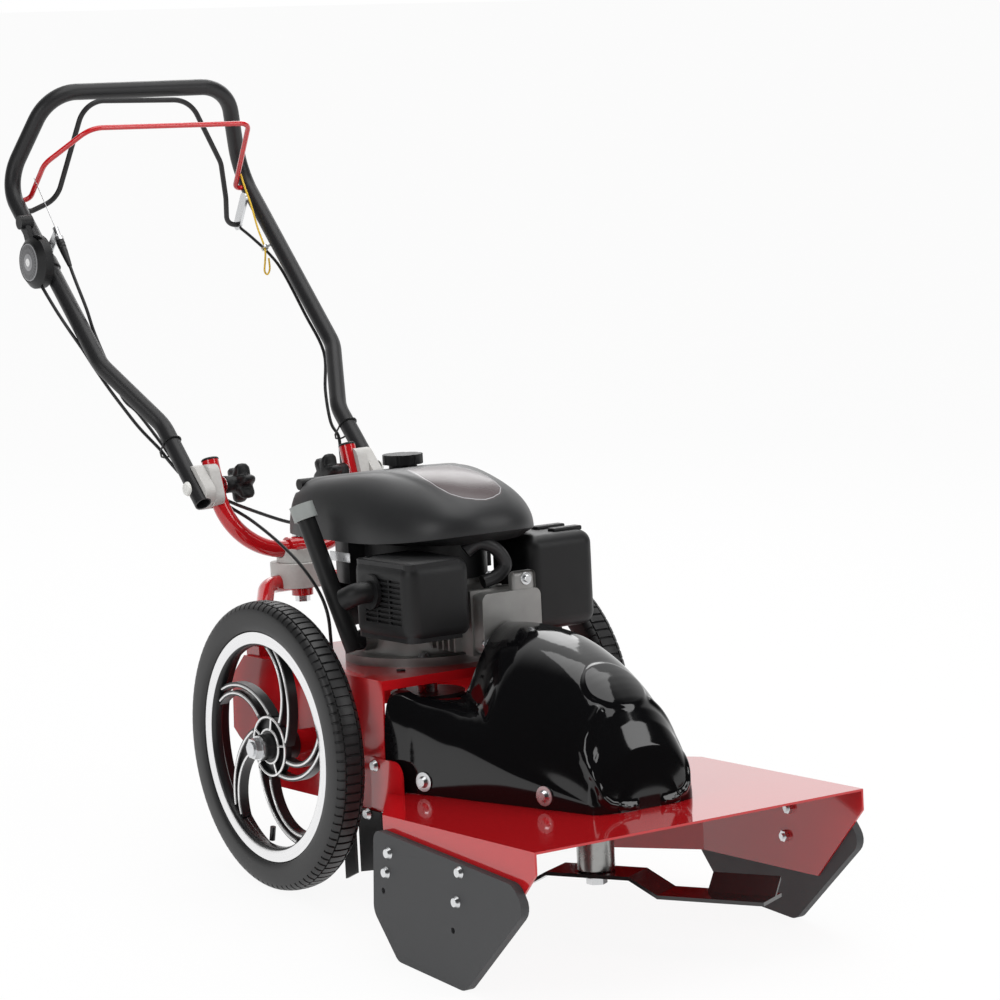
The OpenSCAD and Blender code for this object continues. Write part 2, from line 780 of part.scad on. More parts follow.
// The lip is folded down all along one side and cut away under the front
module deck_lip() {
  slant = atan2(deck_half - chassis_half, deck_corner - deck_rear);
  low = deck_z - lip_h;
  difference() {
    up(low) linear_extrude(lip_h - sheet / 2) polygon(concat(deck_side(),
      [[deck_rear, chassis_half - sheet / cos(slant)],
        [deck_corner + sheet * tan(slant / 2), deck_half - sheet], [deck_front, deck_half - sheet]]));
    side_plate([[deck_front, deck_z - lip_front_h], [deck_front - lip_slant, low],
      [deck_front - lip_slant, low - overrun], [deck_front + overrun, low - overrun],
      [deck_front + overrun, deck_z - lip_front_h]], deck_half + overrun, sheet + 2 * overrun);
  }
}

module deck_ear() {
  y = chassis_half + part_gap + sheet;
  side_plate(rounded([[deck_rear + ear_len, deck_z - sheet], [deck_rear + ear_len, deck_z + ear_h],
    [deck_rear - ear_back, deck_z + ear_h], [deck_rear - ear_back, deck_z],
    [deck_rear - ear_back - sheet, deck_z - ear_drop], [deck_rear + sheet, deck_z - ear_drop],
    [deck_rear + sheet, deck_z - sheet]], [0, ear_corner_r, 0, 0, 0, 0, 0]), y, sheet);
}

module mower_deck() {
  color(red) on_ground() difference() {
    up(axle_z) rotate([0, -nose_up, 0]) difference() {
      union() {
        up(deck_z - sheet) linear_extrude(sheet) polygon(both_sides(deck_side()));
        at_both_sides() deck_lip();
        at_both_sides() deck_ear();
        at_both_sides() for (x = hood_bolt_at) at_hood_side(x)
          translate([-tab_w / 2, -hood_t - tab_set - sheet, 0]) cube([tab_w, sheet, tab_h]);
      }
      translate([spindle_x, 0, deck_z - sheet - overrun])
        cylinder(r = spindle_r + part_gap, h = sheet + 2 * overrun);
      translate([spindle_x, 0, deck_z - sheet - overrun]) around(housing_bolt_angles, housing_bolt_pcr)
          cylinder(r = body_bolt_r, h = sheet + 2 * overrun);
      at_both_sides() translate([ear_bolt_x, chassis_half + 2 * sheet, ear_bolt_z])
        bar_y(body_bolt_r, 3 * sheet);
      at_both_sides() for (x = hood_bolt_at) at_hood_side(x) translate([0, overrun, hood_bolt_rise])
        bar_y(body_bolt_r, hood_t + 2 * sheet + overrun);
    }
    at_both_sides() for (p = skid_bolt_places) translate([p.x, deck_half + overrun, p.y])
      bar_y(body_bolt_r, sheet + 2 * overrun);
  }
}

// Skid plates that stand on the ground outside the lips, with a spare hole in each row
skid_rear = 322;
skid_shares = [[0, 0.33], [0, 1], [0.92, 1], [1, 0.83], [0.62, 0], [0.17, 0]];
skid_radii = [24, 14, 24, 20, 22, 18];
skid_hole_shares = [[0.107, 0.853], [0.09, 0.687], [0.069, 0.528], [0.584, 0.933], [0.564, 0.687],
  [0.54, 0.448]];
function skid_at(share) = [skid_rear + share.x * skid_len, share.y * skid_h];
skid_bolt_places = [for (i = [0, 1, 3, 4]) skid_at(skid_hole_shares[i])];

module skid_plates() {
  color(black) on_ground() at_both_sides() difference() {
    side_plate(rounded([for (s = skid_shares) skid_at(s)], skid_radii), deck_half + skid_t, skid_t);
    for (s = skid_hole_shares) let(p = skid_at(s)) translate([p.x, deck_half + skid_t + overrun, p.y])
      bar_y(body_bolt_r, skid_t + 2 * overrun);
  }
}

module skid_bolts() {
  color(zinc) on_ground() at_both_sides() for (p = skid_bolt_places)
    translate([p.x, deck_half + skid_t, p.y]) rotate([-90, 0, 0])
      bolt(body_bolt_r, skid_t + sheet, body_head_r, body_head_h, body_nut_h, body_tail);
}

// Bolts of the ears, the flaps, the hood, the spindle housing and the engine
hood_bolt_washer_r = 13;
hood_bolt_washer_t = 2;

module body_bolts() {
  ear_grip = 2 * sheet + part_gap;
  color(zinc) on_chassis() {
    at_both_sides() translate([ear_bolt_x, chassis_half + sheet + part_gap, ear_bolt_z])
      rotate([-90, 0, 0]) bolt(body_bolt_r, ear_grip, body_head_r, body_head_h, body_nut_h, body_tail);
    at_both_sides() translate([flap_bolt_x, chassis_half + flap_t, flap_bolt_z]) rotate([-90, 0, 0])
      bolt(body_bolt_r, flap_t + sheet, body_head_r, body_head_h, body_nut_h, body_tail);
    at_both_sides() for (x = hood_bolt_at) at_hood_side(x) up(hood_bolt_rise)
      rotate([-90, 0, 0]) {
        up(hood_bolt_washer_t)
          bolt(body_bolt_r, hood_bolt_washer_t + hood_t + tab_set + sheet, body_head_r, body_head_h,
            body_nut_h, body_tail);
        cylinder(r = hood_bolt_washer_r, h = hood_bolt_washer_t);
      }
    translate([spindle_x, 0, deck_z + housing_flange_t]) around(housing_bolt_angles, housing_bolt_pcr)
        bolt(body_bolt_r, housing_flange_t + sheet, body_head_r, body_head_h, body_nut_h, body_tail);
    translate([crank_x, 0, chassis_top + flange_t]) around(flange_bolt_angles, flange_bolt_pcr)
        bolt(engine_bolt_r, flange_t + sheet, body_head_r, body_head_h, body_nut_h, body_tail);
  }
}

// Rubber flaps behind the skids
flap_t = 4;
flap_front_share = 0.965;
flap_back_share = 0.82;
flap_len = 77;
flap_slope = 12;
strip_front_share = 0.79;
strip_back_share = 0.72;
strip_len = 93;

module flap(front_share, back_share, length) {
  front = chassis_at([front_share, 0]);
  back = chassis_at([back_share, 0]);
  side_plate([[front.x, front.y - part_gap], [front.x, front.y - length],
    [back.x, back.y - length - flap_slope], [back.x, back.y - part_gap]], chassis_half + flap_t, flap_t);
}

module rubber_flaps() {
  color(black) on_chassis() at_both_sides() {
    difference() {
      flap(flap_front_share, flap_back_share, flap_len);
      translate([flap_bolt_x, chassis_half + flap_t + overrun, flap_bolt_z])
        bar_y(body_bolt_r, flap_t + 2 * overrun);
    }
    flap(strip_front_share, strip_back_share, strip_len);
  }
}

// Hood: a formed shell over the belt, with low wings at the rear and a dome that falls to the nose
hood_half_rear = hood_w / 2;
hood_rear = chassis_front + deck_gap;
hood_len = hood_nose - hood_rear;
hood_t = 2.5;
nose_half_share = 0.49;
nose_corner_share = 0.9;
hood_notch = 85;
notch_share = 0.64;
notch_round_share = 0.6;
crest_shares = [[0, 0.95], [0.15, 0.98], [0.28, 1], [0.41, 0.975], [0.56, 0.915], [0.68, 0.845],
  [0.8, 0.745], [0.91, 0.59], [0.97, 0.43], [1, 0.24]];
wing_shares = [[0, 0.52], [0.15, 0.51], [0.35, 0.46], [0.6, 0.3], [1, 0.1]];
dome_shares = [[0, 0.5], [0.2, 0.62], [0.45, 0.96], [1, 1]];
hood_bolt_shares = [0.165, 0.715];
hood_bolt_rise = 18;
hood_bolt_at = [for (s = hood_bolt_shares) hood_rear + s * hood_len];
hood_stations = 20;
hood_columns = 28;

// Half the width of the hood's foot at a share of its length, for a shell offset by inset
function hood_half(s, inset) =
  let(nose = nose_corner_share, wide = hood_half_rear - inset, narrow = wide * nose_half_share)
  s < nose ? wide + (narrow - wide) * s / nose :
    narrow * sqrt(max(0.02, 1 - ((s - nose) / (1 - nose)) ^ 2));

// Height of the shell over the deck at a share of its length and of its half width
function hood_height(s, v, inset) =
  let(dome_v = min(1, abs(v) / lookup(s, dome_shares)),
    dome = (hood_h - inset) * lookup(s, crest_shares) * (1 - dome_v ^ 2.6) ^ 0.5,
    wing = (hood_h - inset) * lookup(s, wing_shares) * (1 - abs(v) ^ 8) ^ 0.25)
  (max(dome, 0) ^ 6 + max(wing, 0) ^ 6) ^ (1 / 6);

// Places a child on the hood's side wall, with Y pointing out of it and Z up from the deck
module at_hood_side(x) {
  s = (x - hood_rear) / hood_len;
  fall = hood_half_rear * (1 - nose_half_share) / (nose_corner_share * hood_len);
  translate([x, hood_half(s, 0), deck_z]) rotate([0, 0, -atan(fall)]) children();
}

function hood_ring(i, inset) = let(s = sin(90 * i / hood_stations))
  [for (j = [-1:hood_columns]) let(v = j < 0 ? 0 : cos(180 * j / hood_columns), lap = inset > 0 ? overrun : 0)
    [hood_rear + (hood_len - inset) * s - (i == 0 ? lap : 0), v * hood_half(s, inset),
      deck_z + (j < 0 ? overrun - 2 * lap : hood_height(s, v, inset) - (abs(v) == 1 ? lap : 0))]];

module hood() {
  color(black) on_chassis() difference() {
    skin([for (i = [0:hood_stations]) hood_ring(i, 0)]);
    skin([for (i = [0:hood_stations]) hood_ring(i, hood_t)]);
    translate([hood_rear, 0, deck_z + hood_bolt_rise]) linear_extrude(2 * hood_h)
      polygon(round_box(2 * hood_notch, hood_w * notch_share, hood_notch * notch_round_share));
    at_both_sides() for (x = hood_bolt_at) at_hood_side(x) translate([0, overrun, hood_bolt_rise])
      bar_y(body_bolt_r, hood_t + 2 * overrun, $fn = 16);
  }
}

// Engine block: mounting flange, crankcase, finned barrel, head and the boss of the oil filler
flange_r = flange_d / 2;
flange_t = 12;
flange_bolt_angles = [35, 145, 215, 325];
flange_bolt_edge = 14;
flange_bolt_pcr = flange_r - flange_bolt_edge;
engine_bolt_r = 4;
engine_z = chassis_top;
case_r = 88;
fan_h = 58;
case_top = engine_z + housing_h - fan_h;
crank_r = 14;
barrel_lift = 24;
barrel_low = engine_z + barrel_lift;
barrel_h = 80;
barrel_front = 205;
barrel_half = 40;
fin_out = 10;
fin_t = 4;
fin_count = 5;
fin_pitch = 14;
head_front = 222;
head_y = [-40, 62];
head_lift = 20;
head_low = engine_z + head_lift;
head_h = 88;
filler_boss_r = 15;
filler_x = 44;
filler_y = -104;
filler_lift = 33;
filler_z = engine_z + filler_lift;

module engine_block() {
  color(alloy) on_chassis() difference() {
    union() {
      translate([crank_x, 0, engine_z]) cylinder(r = flange_r, h = flange_t);
      translate([crank_x, 0, engine_z]) cylinder(r = case_r, h = case_top - engine_z);
      translate([crank_x, -barrel_half, barrel_low])
        cube([barrel_front - crank_x, 2 * barrel_half, barrel_h]);
      for (k = [1:fin_count]) translate([barrel_front - k * fin_pitch, -barrel_half - fin_out, barrel_low])
        cube([fin_t, 2 * (barrel_half + fin_out), barrel_h]);
      translate([barrel_front, head_y[0], head_low])
        cube([head_front - barrel_front, head_y[1] - head_y[0], head_h]);
      translate([filler_x, 0, filler_z]) bar_y(filler_boss_r, -filler_y);
    }
    translate([crank_x, 0, engine_z - overrun])
      cylinder(r = crank_r + fit_gap, h = case_top - engine_z + 2 * overrun);
    translate([crank_x, 0, engine_z - overrun]) around(flange_bolt_angles, flange_bolt_pcr)
      cylinder(r = engine_bolt_r, h = flange_t + 2 * overrun);
  }
}

// Cast valve cover on the front of the head
valve_t = 24;
valve_inset = 3;
valve_corner_r = 10;

module valve_cover() {
  w = head_y[1] - head_y[0] - 2 * valve_inset;
  h = head_h - 2 * valve_inset;
  color(alloy) on_chassis()
    translate([head_front, (head_y[0] + head_y[1]) / 2, head_low + head_h / 2]) rotate([90, 0, 90])
      linear_extrude(valve_t) polygon(round_box(w, h, valve_corner_r));
}

// Fan housing over the crankcase, wide at the rear and open above, with a skirt down the engine's rear
fan_r = 118;
fan_front_r = 92;
fan_wall = 4;
fan_hole_r = 40;
fan_top = case_top + fan_h;
skirt_lift = 38;
skirt_low = engine_z + skirt_lift;
skirt_from = 110;
skirt_sweep = 135;

module fan_outline(inset) {
  circle(fan_front_r - inset);
  intersection() {
    circle(fan_r - inset);
    translate([-fan_r, -fan_r]) square([fan_r - inset, 2 * fan_r]);
  }
}

module fan_housing() {
  color(black) on_chassis() translate([crank_x, 0, 0]) {
    up(case_top) linear_extrude(fan_wall) difference() {
      fan_outline(0);
      circle(fan_hole_r);
    }
    up(case_top) linear_extrude(fan_h) difference() {
      fan_outline(0);
      fan_outline(fan_wall);
    }
    rotate([0, 0, skirt_from]) up(skirt_low) rotate_extrude(angle = skirt_sweep)
      translate([fan_r - fan_wall, 0]) square([fan_wall, case_top + fan_wall - skirt_low]);
  }
}

// Top cover: boxy at the rear, domed to the front, over the fuel tank and the starter rope
cover_half_len = cover_len / 2;
cover_half_w = cover_w / 2;
cover_set = 5;
cover_x = crank_x - cover_set;
cover_z = fan_top + part_gap;
cover_lean_share = 0.1;
rim_rise = 26;
cover_columns = 48;
cover_rows = 10;
base_share = 0.9;
rear_square = 5;
front_square = 2.6;
rear_shoulder = 12;
front_shoulder = 1.9;
shoulder_power = 0.47;

// How far an angle looks to the front, from 0 at the rear to 1 at the nose
function ahead(a) = let(t = (1 + cos(a)) / 2) t * t * (3 - 2 * t);
function cover_power(a, rear, front) = rear + (front - rear) * ahead(a);
function cover_edge(a) =
  let(p = cover_power(a, rear_square, front_square))
  (abs(cos(a) / cover_half_len) ^ p + abs(sin(a) / cover_half_w) ^ p) ^ (-1 / p);

function cover_rim(x) = let(t = max(0, (x - cover_x) / cover_half_len)) rim_rise * t * t;

// A point of the cover at an angle and a share of the way from the crest to the rim
function cover_point(a, q) =
  let(p = cover_power(a, rear_shoulder, front_shoulder), r = cover_edge(a) * q,
    x = cover_x + r * cos(a), rim = cover_rim(cover_x + cover_edge(a) * cos(a)) * q ^ 6,
    crest = cover_h + cover_lean_share * (x - cover_x))
  [x, r * sin(a), cover_z + rim + (crest - rim) * (1 - q ^ p) ^ shoulder_power];

module engine_cover() {
  angles = [for (k = [0:cover_columns - 1]) 360 * k / cover_columns];
  rim = [for (a = angles) cover_point(a, 1)];
  rings = [for (i = [cover_rows - 1:-1:1])
    [for (a = angles) cover_point(a, sin(90 * i / cover_rows) ^ 0.8)]];
  base = [for (p = rim) [cover_x + (p.x - cover_x) * base_share, p.y * base_share, cover_z]];
  color(black) on_chassis() difference() {
    skin(concat([base, rim], rings));
    translate([tank_x[0] - part_gap, tank_y[0] - part_gap, cover_z - overrun])
      cube([span(tank_x) + 2 * part_gap, span(tank_y) + 2 * part_gap, tank_h + part_gap + overrun]);
    translate([cap_x, cap_y, cover_z]) cylinder(r = neck_r + part_gap, h = 2 * cover_h);
    translate([grip_at.x - grip_nook, grip_at.y - grip_half - grip_room, grip_at.z - grip_room])
      cube([grip_nook + grip_r + grip_room, 2 * (grip_half + grip_room), cover_h]);
    along(grip_at + rope_way * rope_len, grip_at) up(-rope_len)
      cylinder(r = rope_r + part_gap, h = 3 * rope_len);
  }
}

// Fuel tank inside the cover, with its neck and screw cap
tank_back = 105;
tank_fore = 65;
tank_x = [cover_x - tank_back, cover_x + tank_fore];
tank_y = [-48, 64];
tank_h = 42;
neck_r = 20;
cap_x = -27;
cap_y = 25;
cap_r = 28.5;
cap_z = cover_z + cover_h;
cap_tall = 14;
cap_top_t = 5;
cap_ribs = 8;
cap_rib_r = 4;

module fuel_tank() {
  color(black) on_chassis() {
    translate([tank_x[0], tank_y[0], cover_z]) cube([span(tank_x), span(tank_y), tank_h]);
    translate([cap_x, cap_y, cover_z])
      cylinder(r = neck_r, h = cap_z + cap_tall - cap_top_t - part_gap - cover_z);
  }
}

module fuel_cap() {
  color(black) on_chassis() translate([cap_x, cap_y, cap_z]) difference() {
    linear_extrude(cap_tall) difference() {
      circle(cap_r);
      for (k = [0:cap_ribs - 1]) rotate(k * 360 / cap_ribs)
        translate([cap_r + cap_rib_r / 2, 0]) circle(cap_rib_r);
    }
    up(-overrun) cylinder(r = neck_r + fit_gap, h = cap_tall - cap_top_t + overrun);
  }
}

// Starter grip: a bar on the rope, which runs straight into the cover
grip_drop = 30;
grip_at = [-107, -62, cover_z + cover_h - grip_drop];
grip_half = 37;
grip_room = 5;
grip_nook = 60;
grip_r = 8;
rope_way = [0.94, 0, -0.34];
rope_len = 205;
rope_r = 2.5;

module starter_grip() {
  color(black) on_chassis() {
    translate([grip_at.x, grip_at.y + grip_half, grip_at.z + grip_r]) bar_y(grip_r, 2 * grip_half);
    rod(grip_at - rope_way * grip_r, grip_at + rope_way * rope_len, rope_r);
  }
}

// Oil filler tube and its dipstick
filler_rise = 30;
filler_top = [-15, -146, cover_z + filler_rise];
filler_r = 13;
filler_bore_r = 7;
filler_set = 3;
filler_foot = [filler_x, filler_y - filler_r - filler_set, filler_z];
stick_cap_r = 17;
stick_cap_h = 22;
stick_r = 4;
stick_len = 130;
stick_way = unit(filler_top - filler_foot);

module oil_filler() {
  color(black) on_chassis() difference() {
    union() {
      rod(filler_foot - stick_way * filler_r, filler_top, filler_r);
      rod([filler_x, filler_y - part_gap, filler_z], filler_foot, filler_r);
    }
    rod(filler_foot, filler_top + stick_way * overrun, filler_bore_r);
  }
}

module dipstick() {
  seat = filler_top + stick_way * part_gap;
  color(alloy) on_chassis() {
    rod(seat - stick_way * stick_len, seat + stick_way * overrun, stick_r);
    rod(seat, seat + stick_way * stick_cap_h, stick_cap_r);
  }
}

// Muffler on the barrel's right side, its louvred guard and the exhaust elbow
guard_x = [98, 240];
guard_y = [-150, -62];
guard_lift = 47;
guard_h = 112;
guard_z = [engine_z + guard_lift, engine_z + guard_lift + guard_h];
guard_t = 3;
guard_corner_r = 16;
guard_edge_r = 4;
guard_notch = [116, -88];
guard_flange_w = 17;
louvre_count = 8;
louvre_h = 5;
louvre_x = [122, 223];
louvre_low = 16;
louvre_high = 26;
louvre_z = [guard_z[0] + louvre_low, guard_z[1] - louvre_high];
port_half = 16;

// The guard's plan, with a corner cut off beside the fan housing
module guard_block(inset) {
  x = guard_x + [inset, -inset];
  y = guard_y + [inset, -inset];
  round_r = guard_corner_r - inset;
  edge_r = guard_edge_r - inset;
  up(guard_z[0] + inset) linear_extrude(span(guard_z) - 2 * inset) polygon(rounded(
    [[x[0], y[0]], [x[1], y[0]], [x[1], y[1]], [guard_notch.x + inset, y[1]], [x[0], guard_notch.y - inset]],
    [round_r, round_r, edge_r, edge_r, edge_r]));
}

module muffler_guard() {
  pitch = span(louvre_z) / louvre_count;
  color(black) on_chassis() difference() {
    union() {
      guard_block(0);
      translate([guard_x[1] - guard_t, guard_y[1] - guard_corner_r, guard_z[0]])
        cube([guard_t, guard_corner_r + guard_flange_w, span(guard_z)]);
    }
    guard_block(guard_t);
    for (k = [0:louvre_count - 1])
      translate([louvre_x[0], guard_y[0] - overrun, louvre_z[0] + (k + 0.5) * pitch - louvre_h / 2])
        cube([span(louvre_x), guard_t + 2 * overrun, louvre_h]);
    translate([louvre_x[0], between(guard_y, 0.2), guard_z[1] - guard_t - overrun])
      cube([span(louvre_x) / 2, louvre_h * 2, guard_t + 2 * overrun]);
    translate([guard_port_x - port_half, guard_y[1] - guard_t - overrun, guard_port_z - port_half])
      cube([2 * port_half, guard_t + 2 * overrun, 2 * port_half]);
    translate([elbow_x, guard_y[0] - overrun, elbow_z]) rotate([-90, 0, 0])
      cylinder(r = elbow_r + part_gap, h = guard_t + 2 * overrun);
  }
}
guard_port_x = 176;
guard_port_z = between(guard_z, 0.5);

module muffler() {
  inset = guard_t + part_gap;
  port_r = port_half - part_gap;
  color(alloy) on_chassis() difference() {
    union() {
      guard_block(inset);
      translate([guard_port_x - port_r, guard_y[1] - 2 * inset, guard_port_z - port_r])
        cube([2 * port_r, -barrel_half - fin_out - part_gap - guard_y[1] + 2 * inset, 2 * port_r]);
    }
    translate([elbow_x, guard_y[0], elbow_z]) rotate([-90, 0, 0]) cylinder(r = elbow_bore_r, h = elbow_len);
  }
}

elbow_x = 150;
elbow_rise = 68;
elbow_z = guard_z[0] + elbow_rise;
elbow_r = 15;
elbow_bore_r = 12;
elbow_len = 24;
elbow_flange_r = 24;
elbow_flange_t = 6;
elbow_out = 8;
elbow_turn_r = 16;
elbow_tail = 6;
elbow_aim = [-0.82, -0.4, -0.4];

module exhaust_elbow() {
  foot = [elbow_x, guard_y[0] - part_gap, elbow_z];
  knee = foot - [0, elbow_out + elbow_turn_r, 0];
  color(black) on_chassis() {
    bent_tube([foot + [0, overrun, 0], knee, knee + unit(elbow_aim) * (elbow_tail + elbow_turn_r)], elbow_turn_r,
      elbow_r, elbow_bore_r);
    translate(foot) rotate([90, 0, 0]) linear_extrude(elbow_flange_t)
      ring(elbow_flange_r, (elbow_r + elbow_bore_r) / 2);
  }
}

// Carburettor, air box and its cover on the barrel's left side
air_x = [104, 206];
air_y = [72, 150];
air_lift = 36;
air_top_gap = 2;
air_z = [engine_z + air_lift, fan_top - air_top_gap];
air_cover_t = 34;
air_corner_r = 12;
carb_x = [140, 184];
carb_lift = 50;
carb_h = 46;
carb_z = [engine_z + carb_lift, engine_z + carb_lift + carb_h];
air_throat_r = 16;
air_wall = 3;

module carburettor() {
  y0 = barrel_half + fin_out + part_gap;
  color(alloy) on_chassis() difference() {
    translate([carb_x[0], y0, carb_z[0]]) cube([span(carb_x), air_y[0] - part_gap - y0, span(carb_z)]);
    translate([between(carb_x, 0.5), y0 - overrun, between(carb_z, 0.5)]) rotate([-90, 0, 0])
      cylinder(r = air_throat_r, h = air_y[0]);
  }
}

module air_block(y0, y1, inset) {
  translate([between(air_x, 0.5), y1, between(air_z, 0.5)]) rotate([90, 0, 0]) linear_extrude(y1 - y0)
    polygon(round_box(span(air_x) - 2 * inset, span(air_z) - 2 * inset, air_corner_r - inset));
}

module air_box() {
  color(black) on_chassis() difference() {
    air_block(air_y[0], air_y[1], 0);
    air_block(air_y[0] + air_wall, air_y[1] + overrun, air_wall);
    translate([between(carb_x, 0.5), air_y[0] - overrun, between(carb_z, 0.5)]) rotate([-90, 0, 0])
      cylinder(r = air_throat_r, h = air_wall + 2 * overrun);
  }
}

module air_box_cover() {
  y0 = air_y[1] + part_gap;
  color(black) on_chassis() difference() {
    air_block(y0, y0 + air_cover_t, 0);
    air_block(y0 - overrun, y0 + air_cover_t - air_wall, air_wall);
  }
}

// Crankshaft with its flywheel, and the belt drive to the spindle
belt_z = 40;
pulley_w = 22;
shaft_show = 4;
crank_low = belt_z - pulley_w / 2 - shaft_show;
flywheel_r = fan_front_r - fan_wall - shaft_show;
flywheel_z = case_top + fan_wall + shaft_show;
flywheel_t = 26;
crank_top = flywheel_z + flywheel_t + shaft_show;
engine_pulley_r = 40;
spindle_pulley_r = 50;
belt_w = 10;
belt_t = 8;
pulley_edge = 4;

module crankshaft() {
  color(alloy) on_chassis() translate([crank_x, 0, 0]) {
    up(crank_low) cylinder(r = crank_r, h = crank_top - crank_low);
    up(flywheel_z) cylinder(r = flywheel_r, h = flywheel_t);
  }
}

// A pulley about Z whose groove takes the belt with room at its foot
module pulley(r, bore_r) {
  half = pulley_w / 2;
  slot = belt_w / 2 + part_gap;
  rim = r + belt_t + pulley_edge;
  rotate_extrude() polygon([[bore_r, -half], [rim, -half], [rim, -slot], [r - part_gap, -slot],
    [r - part_gap, slot], [rim, slot], [rim, half], [bore_r, half]]);
}

module engine_pulley() {
  color(zinc) on_chassis() translate([crank_x, 0, belt_z]) pulley(engine_pulley_r, crank_r);
}

module spindle_pulley() {
  color(zinc) on_chassis() translate([spindle_x, 0, belt_z]) pulley(spindle_pulley_r, shaft_r);
}

// The loop round both pulleys at a height over their grooves
function belt_loop(up) =
  let(lean = asin((spindle_pulley_r - engine_pulley_r) / (spindle_x - crank_x)), half = 90 + lean)
  [for (i = [0:belt_steps]) let(a = half - 2 * half * i / belt_steps)
      [spindle_x, 0] + polar(spindle_pulley_r + up, a),
    for (i = [0:belt_steps]) let(a = half + 2 * (180 - half) * i / belt_steps)
      [crank_x, 0] + polar(engine_pulley_r + up, -a)];
belt_steps = 24;

module drive_belt() {
  color(black) on_chassis() up(belt_z - belt_w / 2) linear_extrude(belt_w) difference() {
    polygon(belt_loop(belt_t));
    polygon(belt_loop(0));
  }
}

// Belt tightener: an arm on a stud under the top plate, with a flat idler outside the belt
idler_pivot = [140, -104];
idler_at = [200, -80.5];
idler_r = 22;
idler_w = 16;
idler_stud_r = 6;
idler_bore_r = 5;
arm_t = 5;
arm_w = 22;
waist_share = 0.8;
arm_gap = 2;
arm_z = belt_z + idler_w / 2 + arm_gap;

module idler_arm() {
  along_arm = idler_at - idler_pivot;
  color(zinc) on_chassis() {
    translate([idler_pivot.x, idler_pivot.y, arm_z]) {
      rotate([0, 0, atan2(along_arm.y, along_arm.x)]) linear_extrude(arm_t) {
        circle(arm_w / 2);
        translate([0, -arm_w * waist_share / 2]) square([norm(along_arm), arm_w * waist_share]);
        translate([norm(along_arm), 0]) circle(arm_w / 2);
      }
      up(arm_t / 2) cylinder(r = idler_stud_r - fit_gap, h = chassis_top - arm_z + arm_gap - arm_t / 2);
    }
    translate([idler_at.x, idler_at.y, belt_z - idler_w / 2 - arm_gap]) {
      up(arm_gap / 2) cylinder(r = idler_bore_r, h = arm_z - belt_z + idler_w / 2 + (arm_gap + arm_t) / 2);
      cylinder(r = arm_w / 2, h = arm_gap - part_gap);
    }
  }
}

module idler_pulley() {
  color(zinc) on_chassis() translate([idler_at.x, idler_at.y, belt_z - idler_w / 2])
    linear_extrude(idler_w) ring(idler_r, idler_bore_r + fit_gap);
}

// Spindle: housing through the deck, bearings, shaft, blade and its bolt
spindle_r = spindle_d / 2;
housing_flange_r = 54;
housing_flange_t = 8;
housing_up = 30;
housing_low = -144;
housing_bolt_pcr = 42;
housing_bolt_angles = [45, 135, 225, 315];
bearing_r = 20;
bearing_w = 14;
shaft_r = 12.5;
shaft_tip_r = 8;
shaft_top = belt_z + pulley_w / 2 + shaft_show;
blade_t = 5;
blade_gap = 2;
blade_z = housing_low - blade_gap;
blade_turn = 27.4;
blade_crank = 22;
crank_from_share = 0.24;
crank_to_share = 0.4;
wing_from_share = 0.62;
wing_rise = 22;
wing_back_share = 0.36;
blade_bolt_r = 14;
blade_bolt_h = 10;
bolt_washer_r = 20;

module spindle_housing() {
  color(zinc) on_chassis() translate([spindle_x, 0, 0]) difference() {
    union() {
      up(housing_low) cylinder(r = spindle_r, h = deck_z + housing_up - housing_low);
      up(deck_z) cylinder(r = housing_flange_r, h = housing_flange_t);
    }
    up(housing_low - overrun)
      cylinder(r = bearing_r, h = deck_z + housing_up - housing_low + 2 * overrun);
    up(deck_z - overrun) around(housing_bolt_angles, housing_bolt_pcr)
      cylinder(r = body_bolt_r, h = housing_flange_t + 2 * overrun);
  }
}

module spindle_bearings() {
  color(zinc) on_chassis() translate([spindle_x, 0, 0]) for (z = [housing_low, deck_z + housing_up - bearing_w])
    up(z) linear_extrude(bearing_w) ring(bearing_r, shaft_r + fit_gap);
}

module spindle_shaft() {
  color(zinc) on_chassis() translate([spindle_x, 0, 0]) {
    up(blade_z) cylinder(r = shaft_r, h = shaft_top - blade_z);
    up(blade_z - blade_t) cylinder(r = shaft_tip_r, h = blade_t);
  }
}

module blade() {
  half = blade_len / 2;
  side = [[0, 0], [half * crank_from_share, 0], [half * crank_to_share, -blade_crank], [half, -blade_crank]];
  outline = concat([for (i = [3:-1:1]) [-side[i].x, side[i].y]], side,
    [for (i = [3:-1:0]) side[i] - [0, blade_t]], [for (i = [1:3]) [-side[i].x, side[i].y - blade_t]]);
  color(black) on_chassis() translate([spindle_x, 0, blade_z]) rotate([0, 0, blade_turn]) difference() {
    union() {
      side_plate(outline, blade_w / 2, blade_w);
      for (turn = [0, 180]) rotate([0, 0, turn]) blade_wing();
    }
    up(-blade_t - overrun) cylinder(r = shaft_tip_r, h = blade_t + 2 * overrun);
  }
}

// Upswept trailing edge that throws the grass out
module blade_wing() {
  half = blade_len / 2;
  back = blade_w * wing_back_share;
  translate([half, 0, -blade_crank]) rotate([0, -90, 0]) linear_extrude(half * (1 - wing_from_share))
    polygon([[-blade_t, blade_w / 2 - back], [0, blade_w / 2 - back], [wing_rise, blade_w / 2],
      [wing_rise - blade_t, blade_w / 2]]);
}

module blade_bolt() {
  color(zinc) on_chassis() translate([spindle_x, 0, blade_z - blade_t]) {
    up(-washer_t) cylinder(r = bolt_washer_r, h = washer_t);
    up(-washer_t - blade_bolt_h) cylinder(r = blade_bolt_r, h = blade_bolt_h, $fn = 6);
  }
}

